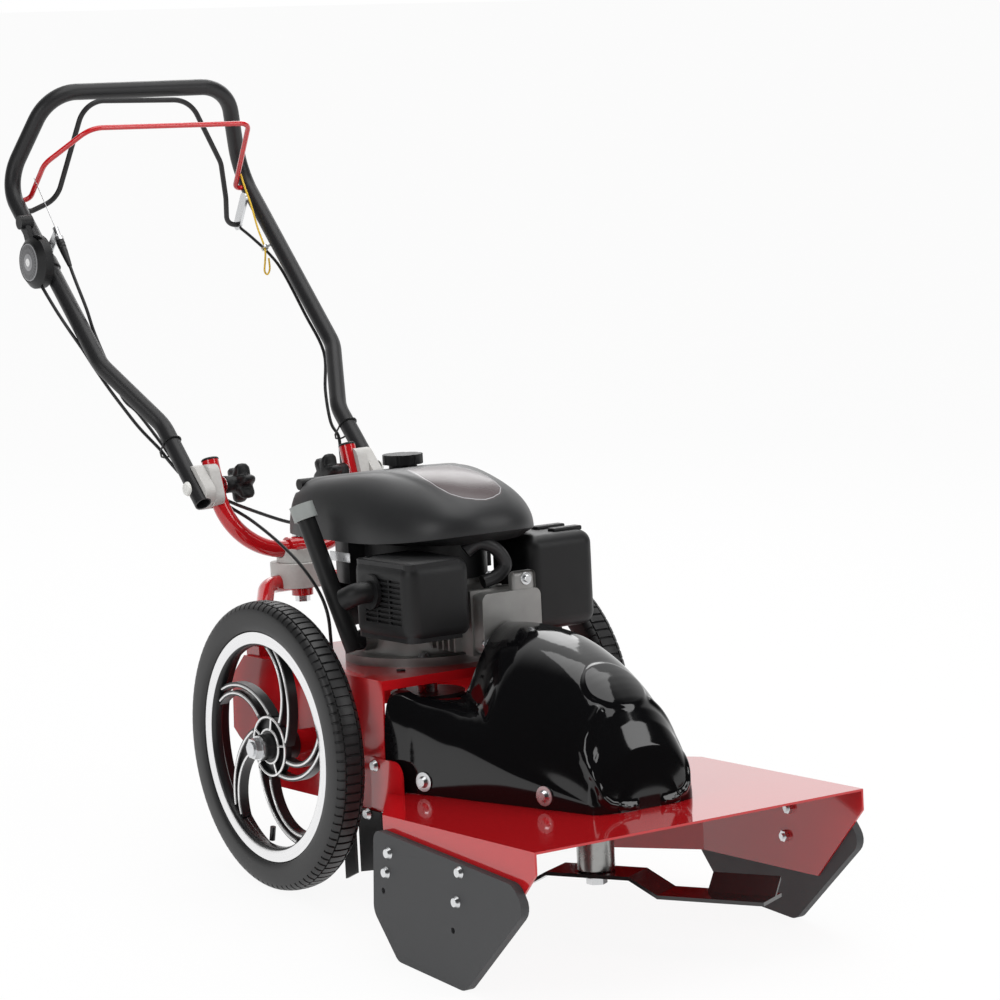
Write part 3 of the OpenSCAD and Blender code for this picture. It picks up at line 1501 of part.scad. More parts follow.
// Throttle: a round pod strapped to the right leg, with a thumb lever in its slot
pod_x = -448;
pod_z = 11;
pod_r = 40;
pod_t = 22;
pod_face_r = 30;
pod_flat_share = 0.6;
pod_strap_t = 3;
pod_strap_w = 18;
lever_t = 8;
lever_hub_r = 18;
lever_pin_r = 5;
lever_w = 14;
lever_len = 64.5;
lever_angle = 159;
lever_swing = 42;
lever_knob_r = 10.5;
lever_knob_len = 20;
pod_side = -leg_y(pod_x) - tube_r - pod_strap_t - part_gap;

// Stands a child's Z axis along the right leg at a place up the leg
module on_right_leg(x) {
  a = [x, -leg_y(x), 0];
  along(a, a + [-tube_d, leg_y(x) - leg_y(x - tube_d), 0]) children();
}

module leg_strap(x, t, w) {
  on_right_leg(x) up(-w / 2) linear_extrude(w) ring(tube_r + t, tube_r + fit_gap);
}

// Turns a child so that its Z axis is the lever's axis, at the pod's middle
module at_pod() {
  on_handle() translate([pod_x, pod_side - pod_t / 2, pod_z]) rotate([90, 0, 0]) children();
}

module pod_body() {
  up(-pod_t / 2) cylinder(r = pod_r, h = pod_t * pod_flat_share);
  up(pod_t * (pod_flat_share - 0.5))
    cylinder(r1 = pod_r, r2 = pod_face_r, h = pod_t * (1 - pod_flat_share));
}

module throttle_pod() {
  slot = lever_t / 2 + part_gap;
  color(black) difference() {
    union() {
      at_pod() difference() {
        pod_body();
        difference() {
          union() {
            up(-slot) cylinder(r = lever_hub_r + part_gap, h = 2 * slot);
            rotate([0, 0, lever_angle - lever_swing - lever_w]) up(-slot)
              rotate_extrude(angle = 2 * (lever_swing + lever_w)) square([pod_r + overrun, 2 * slot]);
          }
          up(-slot) cylinder(r = lever_pin_r, h = 2 * slot);
        }
      }
      on_handle() leg_strap(pod_x, pod_strap_t, pod_strap_w);
      on_handle() translate([pod_x - pod_strap_w / 2, pod_side - pod_strap_t, -pod_strap_w / 2])
        cube([pod_strap_w, 2 * pod_strap_t + tube_r / 2, pod_strap_w]);
    }
    on_handle() on_right_leg(pod_x) up(-pod_r)
      cylinder(r = tube_r + fit_gap, h = 2 * pod_r);
  }
}

module throttle_lever() {
  color(black) at_pod() {
    up(-lever_t / 2) linear_extrude(lever_t) difference() {
      union() {
        circle(lever_hub_r);
        rotate(lever_angle) translate([0, -lever_w / 2]) square([lever_len, lever_w]);
      }
      circle(lever_pin_r + fit_gap);
    }
    rotate([0, 0, lever_angle]) translate([lever_len, 0, -lever_knob_len / 2])
      cylinder(r = lever_knob_r, h = lever_knob_len);
  }
}

// Zinc fittings on the legs: the clutch cable's adjuster bracket and the cord's eyelet
bracket_x = -470;
bracket_w = 16;
bracket_t = 2;
bracket_y = -198;
bracket_h = 46;
bracket_low = 10;
adjuster = [[-482, -195, 46.2], [-459.7, -195, 41.3]];
adjuster_r = 4.5;
adjuster_nut_r = 7;
adjuster_nut_h = 6;
eyelet_x = -466;
eyelet_r = 6;
eyelet_wire = 2;
eyelet_tilt = 35;
eyelet_out = 6;

module handle_fittings() {
  color(zinc) on_handle() {
    leg_strap(bracket_x, bracket_t, bracket_w);
    difference() {
      translate([bracket_x - bracket_w / 2, bracket_y - bracket_t / 2, bracket_low])
        cube([bracket_w, bracket_t, bracket_h - bracket_low]);
      on_right_leg(bracket_x) up(-bracket_w)
        cylinder(r = tube_r + fit_gap, h = 2 * bracket_w);
    }
    rod(adjuster[0], adjuster[1], adjuster_r);
    rod(adjuster[1], adjuster[1] + unit(adjuster[0] - adjuster[1]) * adjuster_nut_h, adjuster_nut_r);
    translate([eyelet_x, leg_y(eyelet_x), 0]) rotate([eyelet_tilt, 0, 0])
      translate([0, -tube_r - fit_gap, 0]) {
        bar_y(eyelet_wire, eyelet_out);
        translate([-eyelet_wire, eyelet_wire - eyelet_out - eyelet_r, 0]) rotate([0, 90, 0])
          linear_extrude(2 * eyelet_wire) ring(eyelet_r, eyelet_r - eyelet_wire);
      }
  }
}

// Sheathed cables: down the handlebar, then in loops to the engine and the chassis
cable_r = 2.5;
boot_r = 6.5;
boot = [[-459.4, -195, 41.2], [-414, -195, 35]];
throttle_route = [[-409.6, -232, -1.4], [-362, -228, -2], [-324, -221, -5], [-295, -206, -18],
  [-264, -197, -25], [-222, -190, -26], [-186, -178, -32], [-146, -168, -33], [-98, -158, -26],
  [-76, -157, -22], [-52, -146, -27]];
clutch_route = [[-416, -195, 35.2], [-386, -195, 29.9], [-342.8, -191, 16.9], [-314, -185, -1],
  [-264, -183, -10], [-204, -174, -28], [-174, -160, -31], [-116, -148, -31], [-88, -147, -27],
  [-58, -138, -31]];
brake_cable_route = [[-539, 188.8, -44.6], [-510, 194, -37], [-466, 200, -27], [-420, 202, -21],
  [-330, 199, -20], [-250, 196, -21], [-180, 168, -28], [-120, 150, -31], [-88, 147, -27],
  [-58, 138, -31]];

module handle_cables() {
  color(black) on_handle() {
    cable(throttle_route, cable_r);
    cable(clutch_route, cable_r);
    cable(brake_cable_route, cable_r);
    rod(boot[0], boot[1], boot_r, $fn = 16);
  }
}

grommet_x = -91;
grommet_y = -70;
grommet_r = 3;
throttle_loop = [[-345, -122, 331], [-316, -98, 307], [-250, -88, 293], [-191, -70, 280],
  [-153.3, -62, 280]];
clutch_loop = [[-349, -114, 322], [-310, -96, 297], [-266, -85, 278], [-213, -75, 250],
  [-160, -72, 221], [-118, -70, 187], [-96, -70, 155], [-91, -70, 118], [-91, -70, 99]];
brake_loop = [[-345, 122, 331], [-316, 98, 307], [-250, 88, 293], [-191, 70, 280], [-153.3, 62, 280]];

// A loop joins on where its cable leaves the handlebar
function loop_from(route, loop) = let(end = handle_point(route[len(route) - 1]))
  concat([end + unit(loop[0] - end) * loop_gap], loop);
loop_gap = 1.2;

module cable_loops() {
  color(black) on_chassis() {
    cable(loop_from(throttle_route, throttle_loop), cable_r);
    cable(loop_from(clutch_route, clutch_loop), cable_r);
    cable(loop_from(brake_cable_route, brake_loop), cable_r);
  }
}

// Cord from the red bail's left arm to the eyelet, with a short tail
cord_r = 1.5;
cord_route = [[-586, 181.5, 30], [-565, 181, 24], [-535, 183.5, 13], [-500, 185.5, -3],
  [-466, 186.6, -12.9], [-452, 186, -26], [-441, 185, -39], [-436, 189, -42],
  [-440, 192, -34], [-452, 191, -22]];

module latch_cord() {
  color("#d8c400") on_handle() cable(cord_route, cord_r, 3, 6);
}

// The origin lies midway between the deck's front corners and the handlebar's rear bends
front_x = chassis_x(deck_front, -deck_drop - lip_front_h);
bend_normal = unit(cross(bar_points[3] - bar_points[2], bar_points[4] - bar_points[3]));
bend_middle = let(u = unit(bar_points[3] - bar_points[2]))
  bar_points[3] - u * bend_cut(bar_points, 3, bar_bend_r) - cross(u, bend_normal) * bar_bend_r;
bend_spin = [bend_normal.x * cos(bar_slope) + bend_normal.z * sin(bar_slope), 0,
  bend_normal.z * cos(bar_slope) - bend_normal.x * sin(bar_slope)];
bend_tilt = chassis_x(bend_spin.x, bend_spin.z);
bend_place = handle_point(bend_middle);
rear_x = chassis_x(bend_place.x, bend_place.z) - bar_bend_r * sqrt(1 - bend_tilt ^ 2) - tube_r;
mid_x = (front_x + rear_x) / 2;

chassis_frame();
axle();
axle_nuts();
wheel_bushes();
wheel_right();
tyre_right();
wheel_left();
tyre_left();
handle_hoop();
swivel_base();
swivel_bolt();
mower_deck();
body_bolts();
rubber_flaps();
skid_plates();
skid_bolts();
hood();
engine_block();
valve_cover();
fan_housing();
engine_cover();
fuel_tank();
fuel_cap();
starter_grip();
oil_filler();
dipstick();
muffler();
muffler_guard();
exhaust_elbow();
carburettor();
air_box();
air_box_cover();
crankshaft();
engine_pulley();
drive_belt();
idler_arm();
idler_pulley();
spindle_housing();
spindle_bearings();
spindle_shaft();
spindle_pulley();
blade();
blade_bolt();
yoke();
swivel_top();
clamp_inner();
knob_right();
knob_left();
handlebar();
clamp_outer();
clamp_bolts();
brake_bail();
drive_bail();
bail_clip();
throttle_pod();
throttle_lever();
handle_cables();
cable_loops();
latch_cord();
handle_fittings();
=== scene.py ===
import json
from math import atan2, cos, exp, hypot, pi, radians, sin

import bpy
from mathutils import Vector
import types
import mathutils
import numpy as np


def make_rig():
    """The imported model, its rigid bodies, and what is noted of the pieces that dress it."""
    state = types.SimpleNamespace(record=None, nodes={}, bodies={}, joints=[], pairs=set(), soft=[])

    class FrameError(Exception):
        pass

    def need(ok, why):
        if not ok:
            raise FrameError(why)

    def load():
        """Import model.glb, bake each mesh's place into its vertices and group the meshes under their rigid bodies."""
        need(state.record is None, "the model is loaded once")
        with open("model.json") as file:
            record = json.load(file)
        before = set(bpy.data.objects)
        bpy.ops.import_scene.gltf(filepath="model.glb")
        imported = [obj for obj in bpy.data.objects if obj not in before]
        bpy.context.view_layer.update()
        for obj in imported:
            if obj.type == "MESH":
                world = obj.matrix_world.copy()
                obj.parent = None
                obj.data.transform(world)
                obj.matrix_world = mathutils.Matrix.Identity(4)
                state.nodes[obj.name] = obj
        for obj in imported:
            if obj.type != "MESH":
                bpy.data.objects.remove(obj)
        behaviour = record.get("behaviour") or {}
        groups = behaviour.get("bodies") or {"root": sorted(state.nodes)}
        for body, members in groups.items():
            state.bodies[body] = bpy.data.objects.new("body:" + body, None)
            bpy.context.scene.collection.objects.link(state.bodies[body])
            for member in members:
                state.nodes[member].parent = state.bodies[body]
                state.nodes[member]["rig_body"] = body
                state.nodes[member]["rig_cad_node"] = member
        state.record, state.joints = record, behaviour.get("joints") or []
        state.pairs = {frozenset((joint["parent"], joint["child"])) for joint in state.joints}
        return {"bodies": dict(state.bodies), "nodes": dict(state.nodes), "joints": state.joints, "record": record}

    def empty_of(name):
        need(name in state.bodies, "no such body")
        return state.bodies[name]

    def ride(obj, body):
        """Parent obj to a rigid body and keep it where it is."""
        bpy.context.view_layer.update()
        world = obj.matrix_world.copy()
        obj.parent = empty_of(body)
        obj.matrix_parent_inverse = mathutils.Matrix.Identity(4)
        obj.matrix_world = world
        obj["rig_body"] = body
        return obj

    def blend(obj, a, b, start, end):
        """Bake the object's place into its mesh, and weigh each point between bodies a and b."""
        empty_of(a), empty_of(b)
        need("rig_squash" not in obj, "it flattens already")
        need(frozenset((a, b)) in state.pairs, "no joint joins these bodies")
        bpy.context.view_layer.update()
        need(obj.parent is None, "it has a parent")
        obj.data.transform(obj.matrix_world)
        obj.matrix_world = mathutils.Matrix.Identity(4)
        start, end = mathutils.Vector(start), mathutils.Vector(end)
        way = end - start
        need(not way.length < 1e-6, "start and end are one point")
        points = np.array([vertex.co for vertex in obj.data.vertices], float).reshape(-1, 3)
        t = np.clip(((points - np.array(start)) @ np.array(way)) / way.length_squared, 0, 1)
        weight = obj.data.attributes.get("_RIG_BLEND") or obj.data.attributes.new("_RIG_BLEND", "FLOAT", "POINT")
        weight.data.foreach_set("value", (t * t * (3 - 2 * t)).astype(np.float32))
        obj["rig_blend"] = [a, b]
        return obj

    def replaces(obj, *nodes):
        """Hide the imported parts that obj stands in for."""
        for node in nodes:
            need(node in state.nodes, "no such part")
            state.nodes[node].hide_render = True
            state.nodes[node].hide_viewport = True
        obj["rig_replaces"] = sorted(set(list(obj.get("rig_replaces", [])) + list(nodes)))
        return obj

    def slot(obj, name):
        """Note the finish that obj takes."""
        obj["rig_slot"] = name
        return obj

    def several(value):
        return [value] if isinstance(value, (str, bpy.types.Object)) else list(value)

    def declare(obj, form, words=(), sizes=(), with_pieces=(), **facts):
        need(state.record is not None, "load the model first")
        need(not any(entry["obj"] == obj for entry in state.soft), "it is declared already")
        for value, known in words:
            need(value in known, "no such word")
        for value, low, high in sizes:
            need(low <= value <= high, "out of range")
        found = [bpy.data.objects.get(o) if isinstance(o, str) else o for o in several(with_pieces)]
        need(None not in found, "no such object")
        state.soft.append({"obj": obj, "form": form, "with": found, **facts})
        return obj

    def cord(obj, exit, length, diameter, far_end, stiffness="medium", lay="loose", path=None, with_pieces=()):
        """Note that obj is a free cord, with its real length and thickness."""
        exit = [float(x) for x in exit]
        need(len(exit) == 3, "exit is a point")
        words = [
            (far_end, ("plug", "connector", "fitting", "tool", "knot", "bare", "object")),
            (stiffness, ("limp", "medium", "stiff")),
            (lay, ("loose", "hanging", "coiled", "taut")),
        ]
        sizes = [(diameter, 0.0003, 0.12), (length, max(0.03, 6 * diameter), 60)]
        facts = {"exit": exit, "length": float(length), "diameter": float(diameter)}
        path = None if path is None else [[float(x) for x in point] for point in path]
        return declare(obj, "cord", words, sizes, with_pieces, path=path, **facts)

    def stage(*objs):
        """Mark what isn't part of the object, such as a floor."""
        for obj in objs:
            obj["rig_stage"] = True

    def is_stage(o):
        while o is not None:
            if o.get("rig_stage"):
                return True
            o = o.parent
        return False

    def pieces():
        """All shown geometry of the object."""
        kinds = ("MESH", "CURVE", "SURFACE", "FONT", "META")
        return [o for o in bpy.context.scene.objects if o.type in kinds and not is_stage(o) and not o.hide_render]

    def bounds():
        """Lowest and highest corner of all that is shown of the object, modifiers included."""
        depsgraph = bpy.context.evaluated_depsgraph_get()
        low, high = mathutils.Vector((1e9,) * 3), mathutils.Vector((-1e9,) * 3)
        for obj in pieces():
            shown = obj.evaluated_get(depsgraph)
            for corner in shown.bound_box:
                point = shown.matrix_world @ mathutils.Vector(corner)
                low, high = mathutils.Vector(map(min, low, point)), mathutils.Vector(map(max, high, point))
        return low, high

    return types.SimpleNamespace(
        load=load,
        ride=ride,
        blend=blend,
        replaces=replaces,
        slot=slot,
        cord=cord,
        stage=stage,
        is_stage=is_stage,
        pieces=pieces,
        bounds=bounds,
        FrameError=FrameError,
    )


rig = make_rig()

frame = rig.load()
cad_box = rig.bounds()
nodes = frame["nodes"]

# Camera and studio: a white sweep and four soft boxes, with the camera a little above the
# machine's right front corner, as a product photographer stands.
scene = bpy.context.scene
scene.view_settings.view_transform = "Standard"
lens = bpy.data.cameras.new("camera")
lens.sensor_width = 36
lens.lens = 123.81
camera = bpy.data.objects.new("camera", lens)
camera.location = (4.00003, -2.6049, 1.3611)
camera.rotation_euler = (radians(79.87), 0, radians(54.96))
scene.collection.objects.link(camera)
scene.camera = camera


class Value:
    """A socket of a node tree that takes part in Python sums, each of which adds a Math node."""

    def __init__(self, tree, socket):
        self.tree = tree
        self.socket = socket

    def node(self, kind, settings, inputs, output=0):
        made = self.tree.nodes.new(kind)
        for name, value in settings.items():
            setattr(made, name, value)
        for name, value in inputs.items():
            if isinstance(value, Value):
                self.tree.links.new(value.socket, made.inputs[name])
            else:
                made.inputs[name].default_value = value
        return Value(self.tree, made.outputs[output])

    def maths(self, operation, *values):
        return self.node("ShaderNodeMath", {"operation": operation}, dict(enumerate(values)))

    def __add__(self, other):
        return self.maths("ADD", self, other)

    def __sub__(self, other):
        return self.maths("SUBTRACT", self, other)

    def __rsub__(self, other):
        return self.maths("SUBTRACT", other, self)

    def __mul__(self, other):
        return self.maths("MULTIPLY", self, other)

    __radd__ = __add__
    __rmul__ = __mul__

    def step(self, low, high):
        return self.node("ShaderNodeMapRange", {"interpolation_type": "SMOOTHSTEP"},
                         {"Value": self, "From Min": low, "From Max": high})

    def mix(self, a, b):
        colours = {6: a, 7: b}
        sockets = {k: v if isinstance(v, Value) else (*v, 1) for k, v in colours.items()}
        return self.node("ShaderNodeMix", {"data_type": "RGBA"}, {0: self, **sockets}, 2)

    def noise(self, scale, detail=2.0):
        return self.node("ShaderNodeTexNoise", {},
                         {"Vector": self, "Scale": scale, "Detail": detail})

    def bump(self, strength, distance=0.001):
        return self.node("ShaderNodeBump", {},
                         {"Height": self, "Strength": strength, "Distance": distance})

    def axis(self, index):
        return self.node("ShaderNodeSeparateXYZ", {}, {"Vector": self}, index)


fill_light = 0.62
front_gloss = 0.03
world = bpy.data.worlds.new("studio")
world.use_nodes = True
scene.world = world
tree = world.node_tree
ray = tree.nodes.new("ShaderNodeLightPath").outputs
seen = Value(tree, ray["Is Camera Ray"])
glossy = Value(tree, ray["Is Glossy Ray"])
mirrored = glossy.maths("MAXIMUM", glossy, Value(tree, ray["Is Transmission Ray"]))
way = Value(tree, tree.nodes.new("ShaderNodeTexCoord").outputs["Generated"])
sweep = (way.axis(1) * 0.57 - way.axis(0) * 0.82 + way.axis(2) * 0.35).step(0.35, 0.9)
reflected = front_gloss + (1 - front_gloss) * sweep
strength = seen + (1 - seen) * (mirrored * reflected + (1 - mirrored) * fill_light)
tree.links.new(strength.socket, tree.nodes["Background"].inputs["Strength"])
tree.nodes["Background"].inputs["Color"].default_value = (1, 1, 1, 1)

light_aim = Vector((0, 0, 0.45))
soft_boxes = (("overhead", (0.2, 0.3, 2.9), (2.6, 2.0), 34),
              ("left", (1.2, -3.2, 1.9), (1.2, 1.7), 22),
              ("right", (2.7, 1.8, 2.0), (1.0, 1.8), 20),
              ("rear", (-2.2, 1.6, 2.0), (1.4, 1.4), 14))
for name, place, (width, height), power in soft_boxes:
    lamp = bpy.data.lights.new("soft_box_" + name, "AREA")
    lamp.shape = "RECTANGLE"
    lamp.size = width
    lamp.size_y = height
    lamp.energy = power
    box = bpy.data.objects.new("soft_box_" + name, lamp)
    box.location = place
    box.rotation_euler = (light_aim - Vector(place)).to_track_quat("-Z", "Y").to_euler()
    scene.collection.objects.link(box)

floor_size, floor_gap, floor_glow = 60, 0.0005, 0.92
bpy.ops.object.select_all(action="DESELECT")
bpy.ops.mesh.primitive_plane_add(size=floor_size, location=(0, 0, cad_box[0][2] - floor_gap))
floor = bpy.context.object
floor.name = "floor"
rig.stage(floor)
sheen = bpy.data.materials.new("white_sweep")
sheen.use_nodes = True
tree = sheen.node_tree
ray = tree.nodes.new("ShaderNodeLightPath").outputs
seen = Value(tree, ray["Is Camera Ray"])
direct = seen.maths("MAXIMUM", seen, Value(tree, ray["Is Glossy Ray"]))
paper = direct.node("ShaderNodeBsdfDiffuse", {}, {"Color": (0.93, 0.93, 0.93, 1)})
glow = direct.node("ShaderNodeEmission", {}, {"Color": (1, 1, 1, 1), "Strength": 1.0})
blended = direct.node("ShaderNodeMixShader", {}, {0: direct * floor_glow, 1: paper, 2: glow})
tree.links.new(blended.socket, tree.nodes["Material Output"].inputs["Surface"])
floor.data.materials.append(sheen)

# Control cables: black sheathed steel wires that run from the throttle pod, the clutch adjuster
# and the engine-stop bail down the legs, are tied to them, and loop across to the engine and the
# chassis.
mm = 0.001
chassis_tilt = radians(4.8)
middle_x = -68.9302
axle_height = 200
bar_slope = radians(46.1)
clamp_pivot = (-308.4468, 329.8609)


def on_chassis(x, y, z):
    return Vector((x * cos(chassis_tilt) - z * sin(chassis_tilt) - middle_x, y,
                   axle_height + x * sin(chassis_tilt) + z * cos(chassis_tilt))) * mm


def on_handle(x, y, z):
    return on_chassis(clamp_pivot[0] + x * cos(bar_slope) + z * sin(bar_slope), y,
                      clamp_pivot[1] - x * sin(bar_slope) + z * cos(bar_slope))


def smooth(route, steps):
    def at(i):
        return route[max(0, min(len(route) - 1, i))]
    points = []
    for i in range(len(route) - 1):
        a, b, c, d = at(i - 1), at(i), at(i + 1), at(i + 2)
        for k in range(steps):
            t = k / steps
            points.append(0.5 * (2 * b + (c - a) * t + (2 * a - 5 * b + 4 * c - d) * t * t
                                 + (3 * b - 3 * c + d - a) * t ** 3))
    return points + [route[-1]]


def alone(piece):
    bpy.ops.object.select_all(action="DESELECT")
    piece.select_set(True)
    bpy.context.view_layer.objects.active = piece


def strand(name, points, radius, closed=False):
    line = bpy.data.curves.new(name, "CURVE")
    line.dimensions = "3D"
    line.bevel_depth = radius * mm
    line.bevel_resolution = 3
    line.use_fill_caps = True
    spline = line.splines.new("POLY")
    spline.points.add(len(points) - 1)
    for point, place in zip(spline.points, points):
        point.co = (*place, 1)
    spline.use_cyclic_u = closed
    piece = bpy.data.objects.new(name, line)
    scene.collection.objects.link(piece)
    alone(piece)
    bpy.ops.object.convert(target="MESH")
    bpy.ops.object.shade_smooth()
    return bpy.context.object


def finish(name, colour, roughness, metallic=0.0, coat=0.0, detail=None, gloss=0.5):
    made = bpy.data.materials.new(name)
    made.use_nodes = True
    tree = made.node_tree
    shader = tree.nodes["Principled BSDF"].inputs
    for socket, value in (("Base Color", (*colour, 1)), ("Roughness", roughness),
                          ("Metallic", metallic), ("Coat Weight", coat),
                          ("Coat Roughness", 0.03), ("Specular IOR Level", gloss)):
        shader[socket].default_value = value
    place = Value(tree, tree.nodes.new("ShaderNodeTexCoord").outputs["Object"])
    for socket, value in (detail(place) if detail else {}).items():
        tree.links.new(value.socket, shader[socket])
    return made


def dress(piece, material, slot=None):
    piece.data.materials.clear()
    piece.data.materials.append(material)
    if slot:
        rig.slot(piece, slot)


def sheath_skin(place):
    return {"Roughness": 0.34 + 0.16 * place.noise(60),
            "Normal": place.noise(900).bump(0.06, 0.0004)}


def run_length(points):
    return sum((b - a).length for a, b in zip(points, points[1:]))


cable_sheath = finish("cable_sheath", (0.014, 0.014, 0.015), 0.4, detail=sheath_skin)
cable_radius = 2.5
cable_runs = {
    "throttle": [(-409.6, -232, -1.4), (-362, -228, -2), (-324, -221, -5), (-295, -206, -18),
                 (-264, -197, -25), (-222, -190, -26), (-186, -178, -32), (-146, -168, -33),
                 (-98, -158, -26), (-76, -157, -22), (-52, -146, -27)],
    "clutch": [(-416, -195, 35.2), (-386, -195, 29.9), (-342.8, -191, 16.9), (-314, -185, -1),
               (-264, -183, -10), (-204, -174, -28), (-174, -160, -31), (-116, -148, -31),
               (-88, -147, -27), (-58, -138, -31)],
    "brake": [(-539, 188.8, -44.6), (-510, 194, -37), (-466, 200, -27), (-420, 202, -21),
              (-330, 199, -20), (-250, 196, -21), (-180, 168, -28), (-120, 150, -31),
              (-88, 147, -27), (-58, 138, -31)]}
cable_ends = {
    "throttle": [(-345, -122, 331), (-316, -98, 307), (-250, -88, 293), (-191, -70, 280),
                 (-153.3, -62, 280)],
    "clutch": [(-349, -114, 322), (-310, -96, 297), (-266, -85, 278), (-213, -75, 250),
               (-160, -72, 221), (-118, -70, 187), (-96, -70, 155), (-91, -70, 118),
               (-91, -70, 99)],
    "brake": [(-345, 122, 331), (-316, 98, 307), (-250, 88, 293), (-191, 70, 280),
              (-153.3, 62, 280)]}
cable_steps = 6
fold_points = 2 * cable_steps
for name, run in cable_runs.items():
    along_leg = smooth([on_handle(*p) for p in run], cable_steps)
    across = smooth([along_leg[-1]] + [on_chassis(*p) for p in cable_ends[name]], cable_steps)
    stretches = (("", along_leg), ("_fold", across[:fold_points + 1]),
                 ("_engine", across[fold_points:]))
    for part, points in stretches:
        cable = strand(name + "_cable" + part, points, cable_radius)
        dress(cable, cable_sheath, "black_rubber")
        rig.cord(cable, exit=points[0], length=run_length(points), diameter=2 * cable_radius * mm,
                far_end="object", stiffness="stiff", lay="loose" if part else "taut", path=points)
        if not part:
            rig.ride(cable, "handle")
            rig.replaces(cable, "handle_cables")
            continue
        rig.replaces(cable, "cable_loops")
        pair = ("handle", "swivel") if part == "_fold" else ("swivel", "chassis")
        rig.blend(cable, *pair, start=points[0], end=points[-1])

# Latch cord: a yellow braided string knotted to the red bail's left arm, threaded through the
# eyelet on the left leg, with a short curled tail.
cord_radius = 1.5
cord_route = [(-586, 181.5, 30), (-565, 181, 24), (-535, 183.5, 13), (-500, 185.5, -3),
              (-466, 186.6, -12.9), (-452, 186, -26), (-441, 185, -39), (-436, 189, -42),
              (-440, 192, -34), (-452, 191, -22)]
eyelet_point = 4 * cable_steps


def braid(place):
    strands = place.node("ShaderNodeTexWave", {"bands_direction": "DIAGONAL"},
                         {"Vector": place, "Scale": 420.0, "Distortion": 1.5})
    return {"Base Color": strands.mix((0.62, 0.36, 0.015), (0.86, 0.6, 0.06)),
            "Normal": strands.bump(0.5, 0.0004)}


cord_points = smooth([on_handle(*p) for p in cord_route], cable_steps)
latch_cord = strand("latch_string", cord_points, cord_radius)
dress(latch_cord, finish("yellow_braid", (0.8, 0.55, 0.05), 0.7, detail=braid), "cord")
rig.cord(latch_cord, exit=cord_points[0], length=run_length(cord_points),
        diameter=2 * cord_radius * mm, far_end="bare", stiffness="limp", lay="hanging",
        path=cord_points)
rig.replaces(latch_cord, "latch_cord")
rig.blend(latch_cord, "red_bail", "handle", start=cord_points[0], end=cord_points[eyelet_point])

# Red steelwork: the chassis box, the hoop, the yoke and the folded mowing deck are welded steel
# under a deep gloss red paint that mirrors the parts standing on it; the box's coat is thinner.
red_base = (0.52, 0.008, 0.012)


def sprayed(place):
    return {"Roughness": 0.1 + 0.1 * place.noise(7), "Normal": place.noise(420).bump(0.012, 0.0006)}


red_gloss = finish("red_gloss_paint", red_base, 0.15, coat=1.0, detail=sprayed, gloss=0.3)
for name in ("handle_hoop", "mower_deck", "yoke", "drive_bail"):
    dress(nodes[name], red_gloss)
red_box = finish("red_box_paint", red_base, 0.2, coat=0.3, detail=sprayed, gloss=0.3)
dress(nodes["chassis_frame"], red_box)


# Black tubing: the bent handlebar and the thin engine-stop bail, in a satin powder coat with a fine
# orange-peel grain on steel.
def powder(place):
    return {"Roughness": 0.33 + 0.14 * place.noise(25),
            "Normal": place.noise(1500).bump(0.1, 0.0003)}


black_satin = finish("black_powder_coat", (0.016, 0.016, 0.017), 0.4, detail=powder, gloss=0.4)
for name in ("handlebar", "brake_bail"):
    dress(nodes[name], black_satin)


# Plated steel: axle, nuts, bolts and small brackets in bright zinc with faint brushing, and the
# wheel bushes in sintered bronze. The belt's pulleys and idler arm are made near black as painted
# shade for the dark space under the hood.
def plating(place):
    grain = place.noise(140, 4.0)
    return {"Roughness": 0.2 + 0.18 * grain,
            "Base Color": grain.mix((0.62, 0.63, 0.64), (0.82, 0.83, 0.84))}


zinc_plate = finish("zinc_plate", (0.74, 0.75, 0.76), 0.3, metallic=1.0, detail=plating)
for name in ("axle", "axle_nuts", "swivel_bolt", "body_bolts", "skid_bolts", "clamp_bolts",
             "bail_clip", "handle_fittings", "blade_bolt", "crankshaft", "spindle_shaft",
             "spindle_bearings"):
    dress(nodes[name], zinc_plate)
bronze = finish("sintered_bronze", (0.55, 0.4, 0.2), 0.4, metallic=1.0, detail=lambda place: {
    "Roughness": 0.32 + 0.2 * place.noise(300)})
dress(nodes["wheel_bushes"], bronze)
# Near-black finish: on the pulleys and idler arm it is painted shade for the hood's dark inside; on the muffler it is
# the muffler's own black.
black_oxide = finish("black_oxide", (0.02, 0.02, 0.021), 0.4, metallic=0.5, detail=lambda place: {
    "Roughness": 0.35 + 0.15 * place.noise(80)})
for name in ("engine_pulley", "spindle_pulley", "idler_arm", "idler_pulley"):
    dress(nodes[name], black_oxide)

# Wheels: black cast alloy with five pairs of swept spokes, whose rim lip, spoke edges and hub
# outline are turned and polished bright.
wheel_y = 223.5
wheel_sides = ((-1, "right", "wheel_r"), (1, "left", "wheel_l"))
wheel_dark = (0.012, 0.012, 0.013)


def at_wheel(side, x, y, z):
    return Vector((x - middle_x, side * (wheel_y + z), axle_height + y)) * mm


def cast_wheel(place):
    across = place.axis(0) + middle_x * mm
    up = place.axis(2) - axle_height * mm
    radius = (across * across + up * up).maths("SQRT", across * across + up * up)
    across_hub = place.axis(1).maths("ABSOLUTE", place.axis(1)) - wheel_y * mm
    lip = radius.step(0.1425, 0.1432) * across_hub.step(0.0165, 0.0175)
    turning = place.node("ShaderNodeTexNoise", {}, {"Vector": radius.node(
        "ShaderNodeCombineXYZ", {}, {0: radius * 900, 1: across * 4}), "Scale": 1.0, "Detail": 3.0})
    bright = turning.mix((0.78, 0.78, 0.79), (0.93, 0.93, 0.93))
    return {"Base Color": lip.mix(wheel_dark, bright), "Metallic": lip,
            "Roughness": 0.3 - lip * 0.16 + 0.06 * turning}


wheel_black = finish("cast_wheel", wheel_dark, 0.3, detail=cast_wheel)
polished = finish("polished_alloy", (0.9, 0.9, 0.9), 0.16, metallic=0.5, detail=lambda place: {
    "Roughness": 0.12 + 0.1 * place.noise(200)})


